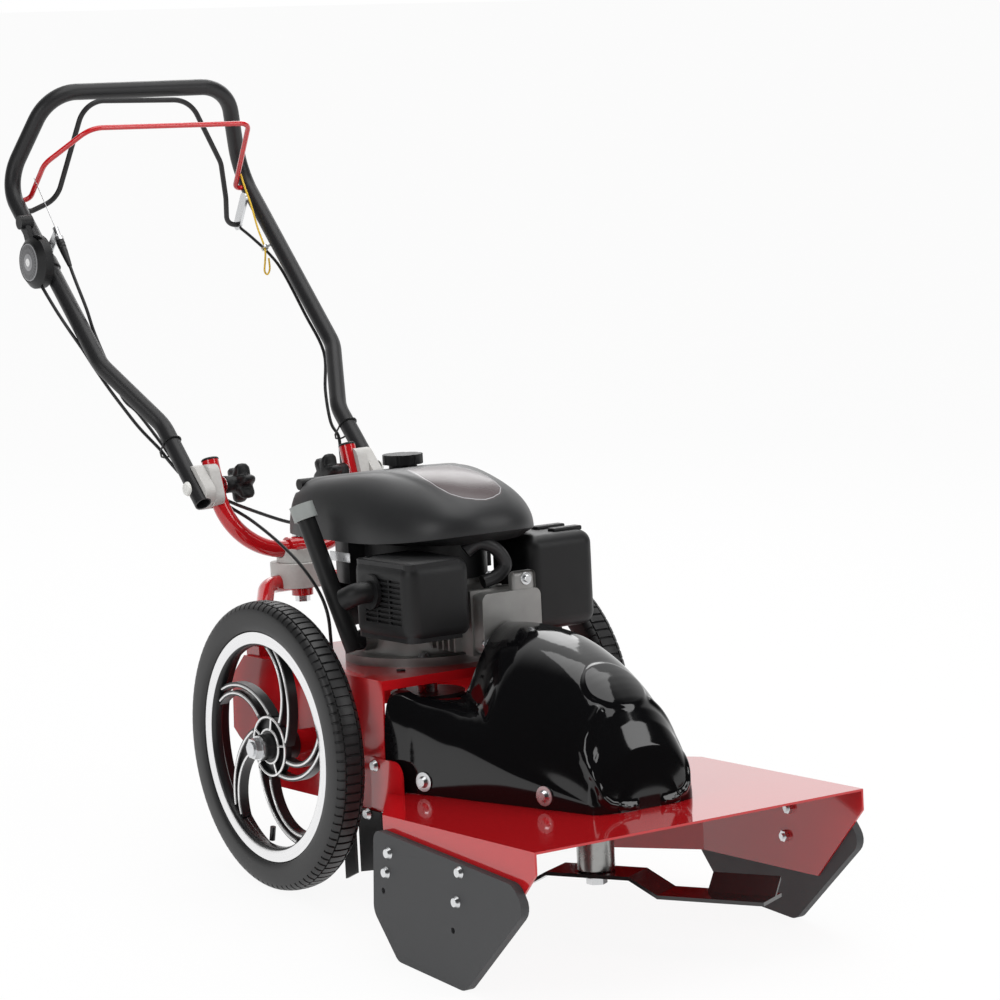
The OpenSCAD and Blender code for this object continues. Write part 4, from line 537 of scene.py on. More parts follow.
def polar(radius, degrees):
    return Vector((radius * cos(radians(degrees)), radius * sin(radians(degrees))))


spokes, spoke_face, spoke_back, spoke_half, edge_bead = 5, 10.6, -3, 3.5, 1.7
spoke_hub, spoke_rim, spoke_sag = 37, 134.5, 22
spoke_ends = ((-35, 0), (-84, -8))
rim_profile = [(159.2, 18), (158.6, 19), (143.4, 19), (142.4, 18.4), (140.4, 15.5), (139.2, 10),
               (139.6, 4), (141.4, 2.2), (156.6, 0.4), (158, -1.6), (158, -17.4), (159.2, -18),
               (159.2, 18)]
hub_profile = [(13.3, 26.4), (17, 26.4), (18, 25.5), (18, 11), (22, 10.6), (23.4, 10.2),
               (23.8, 4.6), (37.6, 4.6), (38, 10.2), (41.6, 10.2), (42, 9.6), (42, 0.6), (22, 0.6),
               (22, -26.4), (13.3, -26.4), (13.3, 26.4)]
hub_rings, web_reach, web_turn, web_half, web_back = (23.5, 40.5), (22.5, 40), 65, 2, 2
valve_reach, valve_turn, valve_radius, valve_depth = (141, 121), 262, 4, -4


def spoke_line(hub_degrees, rim_degrees, turn, nearest, farthest):
    a, b = polar(spoke_hub, hub_degrees + turn), polar(spoke_rim, rim_degrees + turn)
    radius = ((b - a).length_squared / 4 + spoke_sag ** 2) / (2 * spoke_sag)
    u = (b - a).normalized()
    centre = (a + b) / 2 + (spoke_sag - radius) * Vector((u.y, -u.x))
    start = atan2(a.y - centre.y, a.x - centre.x)
    sweep = (atan2(b.y - centre.y, b.x - centre.x) - start + pi) % (2 * pi) - pi
    turns = [start + sweep * k / 24 for k in range(29)]
    points = [centre + radius * Vector((cos(t), sin(t))) for t in turns]
    return [p for p in points if nearest < p.length < farthest]


def joined(name, pieces):
    bpy.ops.object.select_all(action="DESELECT")
    for piece in pieces:
        piece.select_set(True)
    bpy.context.view_layer.objects.active = pieces[0]
    bpy.ops.object.join()
    made = bpy.context.object
    made.name = made.data.name = name
    return made


def draped(name, across, along, place, crease=35):
    bpy.ops.object.select_all(action="DESELECT")
    bpy.ops.mesh.primitive_grid_add(x_subdivisions=across, y_subdivisions=along, size=1)
    piece = bpy.context.object
    piece.name = piece.data.name = name
    for vertex in piece.data.vertices:
        vertex.co = place(vertex.co.x + 0.5, vertex.co.y + 0.5)
    bpy.ops.object.mode_set(mode="EDIT")
    bpy.ops.mesh.select_all(action="SELECT")
    bpy.ops.mesh.remove_doubles(threshold=0.00001)
    bpy.ops.mesh.normals_make_consistent(inside=False)
    bpy.ops.object.mode_set(mode="OBJECT")
    bpy.ops.object.shade_smooth_by_angle(angle=radians(crease))
    return piece


def turned(name, profile, place, sides=40, crease=35):
    def skin(u, v):
        radius, height = profile[round(v * (len(profile) - 1))]
        return place(radius * cos(2 * pi * u), radius * sin(2 * pi * u), height)
    return draped(name, sides, len(profile) - 1, skin, crease)


def bar(line, half_width, back, place):
    corners = ((-half_width, spoke_face), (half_width, spoke_face), (half_width, back),
               (-half_width, back))

    def skin(u, v):
        k = round(v * (len(line) - 1))
        way = (line[min(k + 1, len(line) - 1)] - line[max(k - 1, 0)]).normalized()
        off, height = corners[round(u * 4) % 4]
        return place(line[k].x - way.y * off, line[k].y + way.x * off, height)
    return draped("bar", 4, len(line) - 1, skin)


def bead(line, side, closed=False):
    points = [at_wheel(side, p.x, p.y, spoke_face) for p in line]
    return strand("bead", points, edge_bead, closed)


for side, word, body in wheel_sides:
    def seat(x, y, z, s=side):
        return at_wheel(s, x, y, z)
    valve = [at_wheel(side, *polar(r, valve_turn), valve_depth) for r in valve_reach]
    castings = [turned("rim", rim_profile, seat, 120), turned("hub", hub_profile, seat, 60),
                strand("valve", valve, valve_radius)]
    beads = []
    for k in range(spokes):
        turn = 90 + 360 // spokes * k
        for ends in spoke_ends:
            castings.append(bar(spoke_line(*ends, turn, 38, 141), spoke_half, spoke_back, seat))
            beads.append(bead(spoke_line(*ends, turn, 42, 139), side))
        web = [polar(r, turn + web_turn) for r in web_reach]
        castings.append(bar(web, web_half, web_back, seat))
        beads.append(bead(web, side))
    for radius in hub_rings:
        beads.append(bead([polar(radius, 5 * k) for k in range(72)], side, closed=True))
    brights = joined("spoke_brights_" + word, beads)
    dress(brights, polished, "zinc")
    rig.ride(brights, body)
    wheel = joined("cast_wheel_" + word, castings)
    dress(wheel, wheel_black, "wheel_casting")
    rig.ride(wheel, body)
    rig.replaces(wheel, "wheel_" + word)

# Tyres: black pneumatic tyres with a smooth side wall, and a crown and two shoulder rows of cross
# lugs parted by a groove on each side.
tyre_profile = [(159.4, 17.0), (160.6, 20.4), (164, 22.2), (170, 22.9), (177, 23), (184, 22.7),
                (188.5, 22.1), (190.6, 21.6), (191.4, 21.3), (194.6, 19.5), (196.6, 17.2),
                (198.0, 14.6), (198.5, 13.2), (196.6, 12.7), (196.7, 11.5), (199.0, 11.0),
                (199.6, 7.5), (200, 3.7), (200, 0)]
tyre_profile += [(r, -w) for r, w in reversed(tyre_profile[:-1])]
lug_pitches = 96
lug_shares = (0, 0.05, 0.22, 0.27, 0.5, 0.55, 0.72, 0.77)
lug_depth = 2.8
shoulder_from, shoulder_to, shoulder_radius, crown_to = 13, 21.5, 191, 11.2


def tyre_rubber(place):
    dust = place.noise(11, 4.0)
    return {"Base Color": dust.mix((0.008, 0.008, 0.008), (0.02, 0.02, 0.021)),
            "Roughness": 0.34 + 0.16 * dust, "Normal": place.noise(700).bump(0.12, 0.0004)}


rubber = finish("tyre_rubber", (0.025, 0.025, 0.026), 0.6, detail=tyre_rubber)


def lugged_tyre(side, word):
    steps = len(tyre_profile) - 1
    turns = lug_pitches * len(lug_shares)

    def place(u, v):
        row, turn = round(u * steps), round(v * turns) % turns
        radius, width = tyre_profile[row]
        pitch, share = divmod(turn, len(lug_shares))
        shoulder = shoulder_from < abs(width) < shoulder_to and radius > shoulder_radius
        crown = abs(width) < crown_to
        if (crown and share in (1, 2)) or (shoulder and share in (5, 6)):
            radius -= lug_depth
        angle = 2 * pi * (pitch + lug_shares[share]) / lug_pitches
        return at_wheel(side, radius * cos(angle), radius * sin(angle), width)
    return draped("tyre_" + word + "_lugged", steps, turns, place)


for side, word, body in wheel_sides:
    tyre = lugged_tyre(side, word)
    dress(tyre, rubber, "tyre_rubber")
    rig.ride(tyre, body)
    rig.replaces(tyre, "tyre_" + word)


# Grey mouldings: the swivel blocks and the clamp halves, in a light warm grey glass-filled nylon
# with soft edges.
def nylon(place):
    speck = place.noise(260, 4.0)
    return {"Base Color": speck.mix((0.47, 0.46, 0.44), (0.58, 0.57, 0.55)),
            "Roughness": 0.42 + 0.2 * speck, "Normal": place.noise(1200).bump(0.12, 0.0003)}


def soften(names, width, segments=3, angle=38):
    for name in names:
        weld = nodes[name].modifiers.new("weld", "WELD")
        weld.merge_threshold = 0.00002
        edge = nodes[name].modifiers.new("soft_edges", "BEVEL")
        edge.width = width * mm
        edge.segments = segments
        edge.limit_method = "ANGLE"
        edge.angle_limit = radians(angle)
        even = nodes[name].modifiers.new("even_faces", "WEIGHTED_NORMAL")
        even.keep_sharp = False


grey_nylon = finish("grey_nylon", (0.66, 0.65, 0.63), 0.5, detail=nylon)
grey_blocks = ("swivel_base", "swivel_top", "clamp_inner", "clamp_outer")
for name in grey_blocks:
    dress(nodes[name], grey_nylon)
soften(grey_blocks, 1.6)


# Black mouldings: the throttle and the engine's plastics, in a fine-textured satin polymer that the
# star knobs and the trims below share.
def spark_texture(place):
    return {"Roughness": 0.38 + 0.16 * place.noise(40),
            "Normal": place.noise(1400, 3.0).bump(0.16, 0.0003)}


black_moulding = finish("black_moulding", (0.007, 0.0072, 0.0078), 0.45, detail=spark_texture,
                        gloss=0.4)
for name in ("throttle_pod", "throttle_lever", "fan_housing", "fuel_tank", "fuel_cap",
             "starter_grip", "oil_filler", "exhaust_elbow"):
    dress(nodes[name], black_moulding)
soften(("fuel_cap", "starter_grip", "throttle_lever"), 1.5)


# Cast aluminium: crankcase, valve cover and carburettor in sand-blasted grey, beside the blackened
# muffler, the turned spindle housing and the dipstick's light grey head.
def casting(place):
    grain = place.noise(500, 4.0)
    return {"Base Color": place.noise(30).mix((0.26, 0.257, 0.25), (0.4, 0.395, 0.385)),
            "Roughness": 0.36 + 0.2 * grain, "Normal": grain.bump(0.25, 0.0005)}


cast_alloy = finish("cast_aluminium", (0.45, 0.44, 0.43), 0.45, metallic=0.85, detail=casting)
for name in ("engine_block", "valve_cover", "carburettor"):
    dress(nodes[name], cast_alloy)
dress(nodes["muffler"], black_oxide)
soften(("valve_cover",), 2.0)
steel = finish("turned_steel", (0.36, 0.36, 0.35), 0.25, metallic=1.0, detail=lambda place: {
    "Roughness": 0.18 + 0.14 * place.noise(140)})
dress(nodes["spindle_housing"], steel)
dipstick_grey = finish("light_grey_moulding", (0.3, 0.32, 0.31), 0.45, detail=spark_texture)
dress(nodes["dipstick"], dipstick_grey)


# Skid plates: thick dark grey recycled plastic, scuffed dull, with rubber flaps behind, a rubber
# belt and a black blade.
def scuffed(place):
    haze = place.noise(18, 5.0)
    return {"Base Color": haze.mix((0.036, 0.037, 0.039), (0.062, 0.063, 0.066)),
            "Roughness": 0.5 + 0.2 * haze, "Normal": place.noise(600, 4.0).bump(0.18, 0.0005)}


skid_plastic = finish("skid_plastic", (0.045, 0.045, 0.048), 0.6, detail=scuffed)
dress(nodes["skid_plates"], skid_plastic)
soften(("skid_plates",), 1.2)
for name in ("rubber_flaps", "drive_belt"):
    dress(nodes[name], rubber)
dress(nodes["blade"], finish("black_blade", (0.02, 0.019, 0.019), 0.25, coat=0.3, detail=sprayed))

# Hood: a vacuum-formed shell of glossy black plastic over the belt drive, with a soft dome, low
# shoulders at the rear, a boss and two ridges on its blunt nose, and a notch round the engine.
hood_rear, hood_length, hood_half, hood_height, hood_wall = 196, 354, 167, 216, 2.2
deck_top, hood_gap = -46.5, 0.3
nose_share, nose_corner, nose_flat, nose_round, rear_flare = 0.49, 0.9305, 0.6, 0.02, 5


def along_table(table, s):
    for (s0, v0), (s1, v1) in zip(table, table[1:]):
        if s <= s1:
            return v0 + (v1 - v0) * (s - s0) / (s1 - s0)
    return table[-1][1]


crest_table = [(0, .95), (.15, .98), (.28, 1), (.41, .975), (.56, .915), (.68, .845), (.8, .745),
               (.91, .59), (.97, .43), (1, .24)]
wing_table = [(0, .63), (.04, .61), (.1, .57), (.2, .56), (.35, .53), (.6, .33), (1, .1)]
dome_table = [(0, .5), (.2, .62), (.45, .96), (1, 1)]


def eased(table, s, spread=0.03):
    weights = ((-2, 1), (-1, 4), (0, 6), (1, 4), (2, 1))
    return sum(w * along_table(table, max(0, min(1, s + k * spread))) for k, w in weights) / 16


def hood_side(s):
    narrow = nose_share * hood_half
    if s < nose_corner:
        flare = rear_flare * max(0, 1 - 10 * s)
        return hood_half + (narrow - hood_half) * s / nose_corner + flare
    return narrow * max(nose_flat, (1 - ((s - nose_corner) / (1 - nose_corner)) ** 3) ** 0.4)


boss_middle, boss_reach, boss_rise = 483, (34, 43), 2.5
boss_low = 60
ridge_line = [(41, 82), (55, 67), (67, 47), (72, 33), (73.5, 19), (73.3, 2), (72, -10), (69, -25),
              (60, -34), (42, -39), (22, -41)]
ridge_rise, ridge_width, ridge_from, ridge_top = 3.2, 3.4, 480, 100


def line_distance(line, x, y):
    nearest = 1e9
    for (ax, ay), (bx, by) in zip(line, line[1:]):
        dx, dy = bx - ax, by - ay
        t = max(0, min(1, ((x - ax) * dx + (y - ay) * dy) / (dx * dx + dy * dy)))
        nearest = min(nearest, hypot(x - ax - t * dx, y - ay - t * dy))
    return nearest


def eased_step(low, high, value):
    t = max(0, min(1, (value - low) / (high - low)))
    return t * t * (3 - 2 * t)


def hood_bare(u, v):
    s = sin(pi / 2 * u)
    lateral = cos(pi * v)
    dome_share = eased(dome_table, s)
    full = eased_step(0.1, 0.5, s)
    reach = min(1, abs(lateral) / dome_share)
    dome = eased(crest_table, s) * max(0, 1 - reach ** (1.9 + 0.7 * full)) ** (0.65 - 0.15 * full)
    square = 22 - 14 * eased_step(0, 0.3, s)
    wing = eased(wing_table, s) * max(0, 1 - abs(lateral) ** square) ** 0.25
    front = min(1, max(0, 1 - s) / nose_round) ** 0.5
    rise = hood_height * front * (dome ** 6 + wing ** 6) ** (1 / 6)
    return Vector((hood_rear + hood_length * s, lateral * hood_side(s), deck_top + hood_gap + rise))


def hood_skin(u, v, nudge=0.002):
    p = hood_bare(u, v)
    inner_u, inner_v = max(nudge, min(1 - nudge, u)), max(nudge, min(1 - nudge, v))
    du = hood_bare(inner_u + nudge, inner_v) - hood_bare(inner_u - nudge, inner_v)
    dv = hood_bare(inner_u, inner_v + nudge) - hood_bare(inner_u, inner_v - nudge)
    out = dv.cross(du).normalized()
    oval = hypot((p.x - boss_middle) / boss_reach[0], p.y / boss_reach[1])
    proud = boss_rise * (1 - eased_step(0.9, 1.06, oval)) if p.z > boss_low else 0
    if p.x > ridge_from and p.z < ridge_top:
        proud += ridge_rise * exp(-(line_distance(ridge_line, abs(p.y), p.z) / ridge_width) ** 2)
    return on_chassis(*(p + out * proud))


def modified(piece, kind, **settings):
    alone(piece)
    added = piece.modifiers.new("shape", kind)
    for name, value in settings.items():
        setattr(added, name, value)
    bpy.ops.object.modifier_apply(modifier=added.name)


def block(name, low, high, place, corner=0, upright=False, segments=6):
    bpy.ops.object.select_all(action="DESELECT")
    bpy.ops.mesh.primitive_cube_add(size=1)
    piece = bpy.context.object
    piece.name = piece.data.name = name
    for vertex in piece.data.vertices:
        vertex.co = [a + (b - a) * (c + 0.5) for a, b, c in zip(low, high, vertex.co)]
    if corner:
        bpy.ops.object.mode_set(mode="EDIT")
        bpy.ops.mesh.select_mode(type="EDGE")
        bpy.ops.mesh.select_all(action="DESELECT")
        bpy.ops.object.mode_set(mode="OBJECT")
        for edge in piece.data.edges:
            a, b = (piece.data.vertices[k].co for k in edge.vertices)
            edge.select = abs(a.z - b.z) > 0.01 or not upright
        bpy.ops.object.mode_set(mode="EDIT")
        bpy.ops.mesh.bevel(offset=corner, segments=segments, affect="EDGES")
        bpy.ops.object.mode_set(mode="OBJECT")
    for vertex in piece.data.vertices:
        vertex.co = place(*vertex.co)
    bpy.ops.object.shade_smooth_by_angle(angle=radians(35))
    return piece


def cut(piece, tool):
    modified(piece, "BOOLEAN", object=tool, operation="DIFFERENCE", solver="EXACT")
    bpy.data.objects.remove(tool)


def mirror_gloss(place):
    return {"Roughness": 0.05 + 0.05 * place.noise(5), "Normal": place.noise(30).bump(0.02, 0.001)}


gloss_black = finish("gloss_black_shell", (0.003, 0.003, 0.0034), 0.05, detail=mirror_gloss)
hood = draped("gloss_hood", 150, 220, hood_skin, crease=50)
modified(hood, "SOLIDIFY", thickness=hood_wall * mm, offset=-1)
notch_low, notch_high = (111, -136, deck_top + 18), (252, 136, 400)
cut(hood, block("notch", notch_low, notch_high, on_chassis, corner=50, upright=True))
bpy.ops.object.shade_smooth_by_angle(angle=radians(50))
dress(hood, gloss_black, "gloss_hood")
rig.ride(hood, "chassis")
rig.replaces(hood, "hood")

# Engine top cover: one satin dark grey moulding, square at the rear and domed to the front, with a
# raised panel along its back and a glossy shield inlaid in that, left plain.
cover_middle, cover_half_length, cover_half_width, cover_foot, cover_rise = 40, 195, 120, 272.3, 91
cover_rows, cover_columns, cover_rim, cover_slope, panel_rise = 44, 144, 15, 0.1, 1.6
shield_half = [(70, 0), (71, 34), (78, 37), (130, 47), (165, 48.5), (188, 44), (203, 32), (211, 14),
               (213, 0)]
shield_line = shield_half + [(x, -y) for x, y in reversed(shield_half) if y]
panel_half = [(-170, 116), (58, 61), (103, 54.5), (156, 52), (190, 48.5), (212, 44), (225, 36),
              (231, 20), (233, 0)]
panel_line = panel_half + [(x, -y) for x, y in reversed(panel_half) if y]


def inside(line, x, y):
    hits = False
    for (ax, ay), (bx, by) in zip(line, line[1:] + line[:1]):
        if (ay > y) != (by > y) and x < ax + (y - ay) / (by - ay) * (bx - ax):
            hits = not hits
    return hits


def depth_inside(line, x, y):
    away = line_distance(line, x, y)
    return away if inside(line, x, y) else -away


def blend_power(angle, rear, front):
    t = (1 + cos(angle)) / 2
    return rear + (front - rear) * t * t * (3 - 2 * t)


def cover_edge(angle):
    p = blend_power(angle, 5, 2.6)
    along, across = cos(angle) / cover_half_length, sin(angle) / cover_half_width
    return (abs(along) ** p + abs(across) ** p) ** (-1 / p)


def cover_skin(u, v):
    angle, row = 2 * pi * u, round(v * (cover_rows + 2))
    edge = cover_edge(angle)
    rim = cover_rim * max(0, edge * cos(angle) / cover_half_length) ** 2
    if row == cover_rows + 2:
        return on_chassis(cover_middle, 0, cover_foot + 4)
    if row == cover_rows + 1:
        edge *= 0.9
        return on_chassis(cover_middle + edge * cos(angle), edge * sin(angle), cover_foot)
    q = sin(pi / 2 * row / cover_rows) ** 0.8
    x, y = cover_middle + edge * q * cos(angle), edge * q * sin(angle)
    lift = rim * q ** 6
    crest = cover_rise + cover_slope * (x - cover_middle)
    z = lift + (crest - lift) * max(0, 1 - q ** blend_power(angle, 12, 1.9)) ** 0.47
    proud = panel_rise * eased_step(-4, 4, depth_inside(panel_line, x, y)) * (1 - q ** 8)
    return on_chassis(x, y, cover_foot + z + proud)


def from_chassis(point):
    x, z = point.x / mm + middle_x, point.z / mm - axle_height
    return (x * cos(chassis_tilt) + z * sin(chassis_tilt), point.y / mm,
            z * cos(chassis_tilt) - x * sin(chassis_tilt))


def cover_finish(place):
    depth = place.node("ShaderNodeAttribute", {"attribute_name": "shield"}, {}, 2)
    sheet = depth.step(0.0, 0.6)
    border = depth.step(1.2, 1.6) * (1 - depth.step(2.4, 2.8))
    dark = place.noise(20).mix((0.014, 0.0145, 0.0155), (0.02, 0.0205, 0.0215))
    return {"Base Color": border.mix(sheet.mix(dark, (0.05, 0.03, 0.032)), (0.3, 0.3, 0.31)),
            "Roughness": 0.36 - 0.16 * sheet + 0.1 * place.noise(30),
            "Normal": (place.noise(1500, 3.0) * (1 - sheet)).bump(0.14, 0.0003)}


cover = draped("engine_top_cover", cover_columns, cover_rows + 2, cover_skin, crease=40)
cut(cover, block("nook", (-167, -104, 328.3), (-94, -20, 420), on_chassis, corner=6))
shield = cover.data.attributes.new("shield", "FLOAT", "POINT")
for vertex in cover.data.vertices:
    x, y, z = from_chassis(vertex.co)
    shield.data[vertex.index].value = depth_inside(shield_line, x, y) if z > 300 else -10
bpy.ops.object.shade_smooth_by_angle(angle=radians(40))
satin_cover = finish("satin_cover", (0.035, 0.035, 0.037), 0.45, detail=cover_finish)
dress(cover, satin_cover, "engine_plastic")
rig.ride(cover, "chassis")
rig.replaces(cover, "engine_cover")

# Engine boxes: the moulded muffler guard with a louvred side and a vent in its top, and the air
# cleaner's case with its hinged cover and two spring latches.
guard = block("louvred_guard", (98, -150, 149), (240, -45, 261), on_chassis, corner=20, segments=8)
cut(guard, block("hollow", (102, -146, 140), (236, -30, 257), on_chassis, corner=16))
louvre_rows, louvre_pitch, louvre_length, louvre_columns = 9, 7, 27, (132, 162, 192)
louvres = []
for row in range(louvre_rows):
    low, high = 176 + louvre_pitch * row, 179.6 + louvre_pitch * row
    louvres += [block("louvre", (x, -160, low), (x + louvre_length, -130, high), on_chassis)
                for x in louvre_columns]
louvres.append(block("vent", (116, -138, 250), (128, -70, 270), on_chassis))
cut(guard, joined("louvres", louvres))
bpy.ops.object.shade_smooth_by_angle(angle=radians(35))
dress(guard, black_moulding, "black_paint")
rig.ride(guard, "chassis")
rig.replaces(guard, "muffler_guard")
case_low, case_high, case_split = (104, 72, 138), (206, 184.3, 270), 150.15
case_halves = (("air_case", case_split, 200, "air_box", "chassis"),
               ("air_case_cover", 60, case_split, "air_box_cover", "air_cover"))
for name, low, high, node, body in case_halves:
    half = block(name, case_low, case_high, on_chassis, corner=19, segments=8)
    cut(half, block("other_half", (90, low, 120), (220, high, 290), on_chassis))
    bpy.ops.object.shade_smooth_by_angle(angle=radians(35))
    dress(half, black_moulding, "engine_plastic")
    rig.ride(half, body)
    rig.replaces(half, node)
for k, x in enumerate((128, 168)):
    latch = block("case_latch_%d" % k, (x, 130, 268), (x + 16, 178, 274.5), on_chassis,
                  corner=2, segments=3)
    dress(latch, black_moulding, "engine_plastic")
    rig.ride(latch, "air_cover")

# Yoke and clamp trims: scalloped star knobs on zinc washers, black plugs in the yoke's open ends,
# pale caps over the clamp bolts' heads and raised arcs moulded on the clamp halves.
yoke_lean = radians(18)
swivel_x, yoke_foot, yoke_side, yoke_top, clamp_up = -276, 230, 118, 143, 105
leg_side, tube_radius = 152, 12.5


def on_yoke(x, y, z):
    return on_chassis(swivel_x + x * cos(yoke_lean) - z * sin(yoke_lean), y,
                      yoke_foot + x * sin(yoke_lean) + z * cos(yoke_lean))


plug_profile = [(0, 4.4), (7, 4.3), (11, 3.6), (12.9, 2), (13.1, 0.2), (12.4, -0.1), (10.4, -0.2),
                (10.2, -6), (0, -6)]
cap_profile = [(0, 6.4), (5, 6.1), (8.6, 4.8), (10.4, 2.2), (10.6, 0.3), (0, 0.3)]
washer_profile = [(4.4, 0), (11.5, 0), (12, 0.4), (12, 1.2), (11.5, 1.6), (4.4, 1.6), (4.4, 0)]
washer_share = 0.55
pale_cap = finish("pale_cap", (0.74, 0.74, 0.71), 0.4, detail=spark_texture)
knob_foot, knob_lobes, lobe_swing = 104.4, 6, 5.6
knob_profile = [(12, 0, 0), (13, 0, 1), (12.4, 0, 8), (13, 0, 16), (17, 0.5, 18.2),
                (21.5, 0.85, 19.5), (23.6, 1, 23), (24.2, 1, 30), (23.4, 0.95, 36), (20.5, 0.8, 40),
                (15, 0.4, 41.8), (0, 0, 42)]
arc_reach, arc_inset, arc_radius = (14, 22), 13.6, 1.2


def star(side):
    def skin(u, v):
        middle, swing, height = knob_profile[round(v * (len(knob_profile) - 1))]
        turn = 2 * pi * u
        radius = middle + swing * lobe_swing * cos(knob_lobes * turn)
        return on_yoke(radius * cos(turn), side * (knob_foot - height),
                       clamp_up + radius * sin(turn))
    return skin


for side, word in ((-1, "right"), (1, "left")):
    knob = draped("star_knob_" + word, 120, len(knob_profile) - 1, star(side), crease=60)
    dress(knob, black_moulding, "black_plastic")
    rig.ride(knob, word + "_knob")
    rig.replaces(knob, "knob_" + word)
    plug = turned("yoke_plug_" + word, plug_profile,
                  lambda x, y, z, s=side: on_yoke(x, s * yoke_side + y, yoke_top + z))
    dress(plug, black_moulding, "black_plastic")
    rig.ride(plug, "swivel")
    cap = turned("bolt_cap_" + word, cap_profile,
                 lambda x, y, z, s=side: on_handle(x, s * (leg_side + tube_radius - 1 + z), y))
    dress(cap, pale_cap, "grey_plastic")
    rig.ride(cap, "handle")
    washer = turned("knob_washer_" + word, washer_profile, lambda x, y, z, s=side: on_yoke(
        x, s * (yoke_side - tube_radius - z * washer_share), clamp_up + y))
    dress(washer, zinc_plate, "zinc")
    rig.ride(washer, "swivel")
    turns = [radians(a) for a in range(-80, 81, 8)]
    arc = [on_handle(arc_reach[0] * cos(t), side * (leg_side - arc_inset), arc_reach[1] * sin(t))
           for t in turns]
    moulded = strand("clamp_arc_" + word, arc, arc_radius)
    dress(moulded, grey_nylon, "grey_plastic")
    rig.ride(moulded, "handle")

# Ties: black nylon straps that hold the cables against the legs above the clamps, round over the
# tube and slack under the cables.
tie_x, tie_reach, tie_radius = -88, 14, 1.4
for side, word in ((-1, "right"), (1, "left")):
    turns = [radians(a) for a in range(-20, 201, 20)]
    upper = [(tie_reach * cos(t), tie_reach * sin(t)) for t in turns]
    under = [(-13, -22), (-8, -31.5), (0, -34), (6, -31), (12, -20)]
    loop = [on_handle(tie_x, side * (leg_side + y), z) for y, z in upper + under]
    tie = strand("cable_tie_" + word, loop, tie_radius, closed=True)
    dress(tie, black_moulding, "black_plastic")
    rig.ride(tie, "handle")

# Clutch adjuster: a ribbed rubber boot over the cable's end, and the bare steel wire that runs on
# from it to the red bail.
boot_ends = (on_handle(-459.4, -195, 41.2), on_handle(-414, -195, 35))
boot_axis = (boot_ends[1] - boot_ends[0]).normalized()
boot_side = boot_axis.cross(Vector((0, 1, 0))).normalized()
boot_up = boot_axis.cross(boot_side)
boot_profile = [(0, 0), (6.2, 0), (6.5, 2), (6.5, 6), (5.7, 7), (6.3, 8.2), (6.2, 12), (5.5, 13),
                (6.0, 14.2), (5.6, 20), (4.6, 32), (3.6, 42), (3.2, 46), (0, 46)]
boot = turned("adjuster_boot", boot_profile,
              lambda x, y, z: boot_ends[0] + (boot_side * x + boot_up * y + boot_axis * z) * mm)
dress(boot, rubber, "black_rubber")
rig.ride(boot, "handle")
wire_radius, wire_steps = 0.6, 16
wire_shares = [k / wire_steps for k in range(wire_steps + 1)]
wire_points = [on_handle(-481 - 104 * t, -195 + 5.5 * t, 46.1 + 2 * t) for t in wire_shares]
wire = strand("clutch_wire", wire_points, wire_radius)
dress(wire, zinc_plate, "zinc")
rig.cord(wire, exit=wire_points[0], length=run_length(wire_points), diameter=2 * wire_radius * mm,
        far_end="object", stiffness="stiff", lay="taut", path=wire_points)
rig.blend(wire, "handle", "red_bail", start=wire_points[0], end=wire_points[-1])

# Throttle face: a silver-grey dial pressed in the pod's outer side, with plain ticks and a pale
# boss in its middle.
dial_x, dial_y, dial_z, tick_count = -448, -242.5, 11, 30
dial_profile = [(0, 2.2), (5.4, 2.0), (6.2, 1.2), (7, 0.7), (20, 0.9), (26.5, 0.6), (28, 0),
                (28.6, -1), (0, -1)]


def dial(place):
    x = place.axis(0) - on_handle(dial_x, 0, dial_z).x
    z = place.axis(2) - on_handle(dial_x, 0, dial_z).z
    radius = (x * x + z * z).maths("SQRT", x * x + z * z)
    angle = x.maths("ARCTAN2", z, x)
    waves = angle.maths("SINE", angle * tick_count).step(0.7, 0.9)
    ticks = waves * radius.step(0.0195, 0.02) * (1 - radius.step(0.0245, 0.025))
    boss = 1 - radius.step(0.0058, 0.0062)
    ring = radius.step(0.0125, 0.013) * (1 - radius.step(0.0265, 0.027))
    printed = ticks.mix(ring.mix((0.3, 0.3, 0.31), (0.12, 0.12, 0.125)), (0.02, 0.02, 0.02))
    return {"Base Color": boss.mix(printed, (0.8, 0.8, 0.8)),
            "Roughness": 0.35 + 0.1 * place.noise(200)}


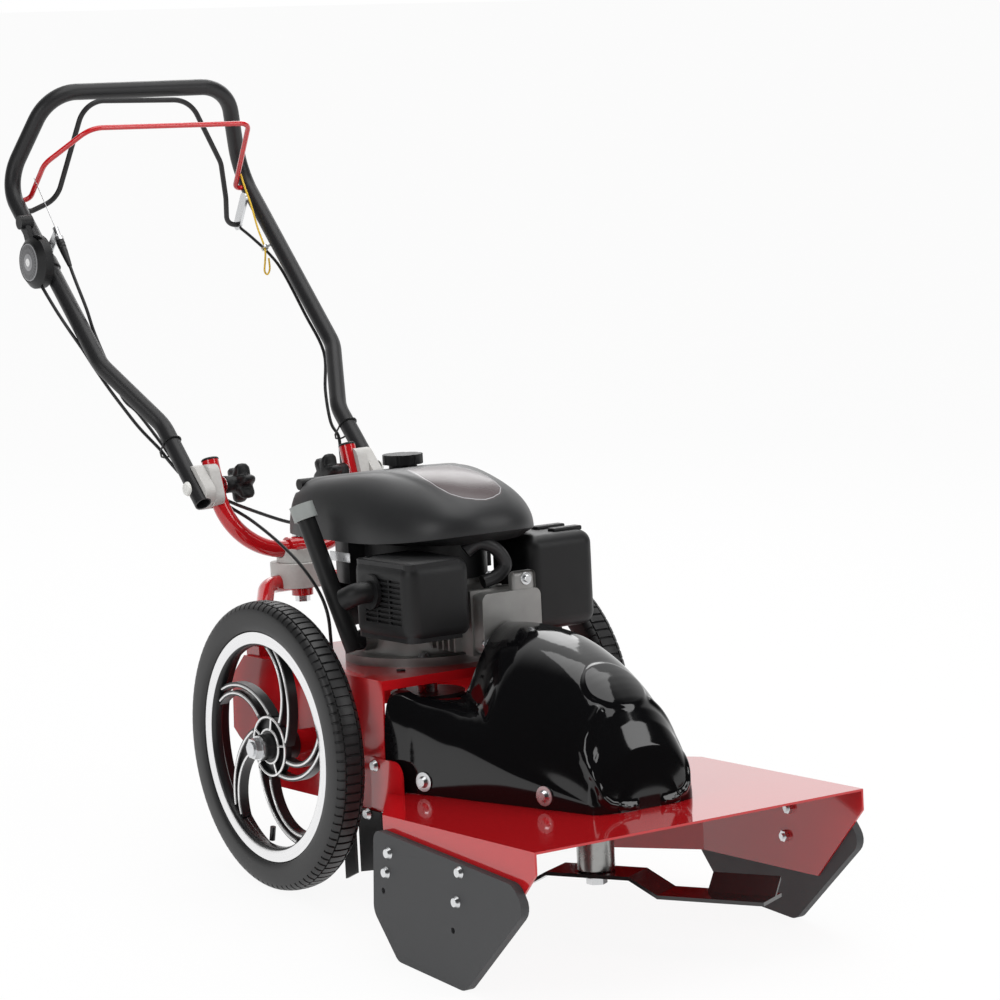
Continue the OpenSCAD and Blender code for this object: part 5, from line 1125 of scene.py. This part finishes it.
face = turned("throttle_dial", dial_profile,
              lambda x, y, z: on_handle(dial_x + x, dial_y - z, dial_z + y), 64)
dress(face, finish("dial_grey", (0.3, 0.3, 0.31), 0.4, detail=dial), "grey_plastic")
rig.ride(face, "handle")

# Engine trims: a plain plate on the fan housing, the rubber breather elbow with its spring clip,
# and the valve cover's lifting ear and bolts.
plate = block("rating_plate", (-2, -119, 244.5), (49, -118.1, 257.5), on_chassis,
              corner=0.3, segments=2)
dress(plate, finish("plain_plate", (0.66, 0.66, 0.66), 0.35, metallic=0.7, detail=plating), "zinc")
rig.ride(plate, "chassis")
elbow_radius, clip_reach, clip_radius = 9.5, 10.6, 1.3
elbow_route = [(203, -32, 262), (209, -16, 272), (215, 2, 267), (217, 16, 254), (218, 22, 239),
               (217, 13, 228), (214, 0, 222), (212, -12, 219)]
elbow_points = smooth([on_chassis(*p) for p in elbow_route], cable_steps)
elbow = strand("breather_elbow", elbow_points, elbow_radius)
dress(elbow, cable_sheath, "black_rubber")
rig.ride(elbow, "chassis")
clip_ring = [(clip_reach * cos(2 * pi * k / 24), clip_reach * sin(2 * pi * k / 24))
             for k in range(24)]
clip_loop = [on_chassis(213.5 + b * 0.25, -3 + b * 0.35, 221.5 + a) for a, b in clip_ring]
clip = strand("hose_clip", clip_loop, clip_radius, closed=True)
dress(clip, zinc_plate, "zinc")
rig.ride(clip, "chassis")
ear = block("valve_ear", (238, 12, 200), (245, 52, 232), on_chassis, corner=7, segments=5)
dress(ear, cast_alloy, "cast_alloy")
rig.ride(ear, "chassis")
bolt_profile = [(0, 6), (4.6, 6), (5.2, 5.2), (5.2, 1.6), (8.4, 1.4), (8.8, 0.8), (8.8, -2),
                (0, -2)]
for place, word in (((245, 36, 221), "ear"), ((244.5, -30, 140), "low"), ((244.5, 50, 140), "far")):
    bolt = turned("valve_bolt_" + word, bolt_profile,
                  lambda x, y, z, p=place: on_chassis(p[0] + z, p[1] + x, p[2] + y), 24)
    dress(bolt, zinc_plate, "zinc")
    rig.ride(bolt, "chassis")

visual_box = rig.bounds()
with open("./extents.json", "w") as out:
    json.dump({"cad": [list(corner) for corner in cad_box],
               "visual": [list(corner) for corner in visual_box]}, out)
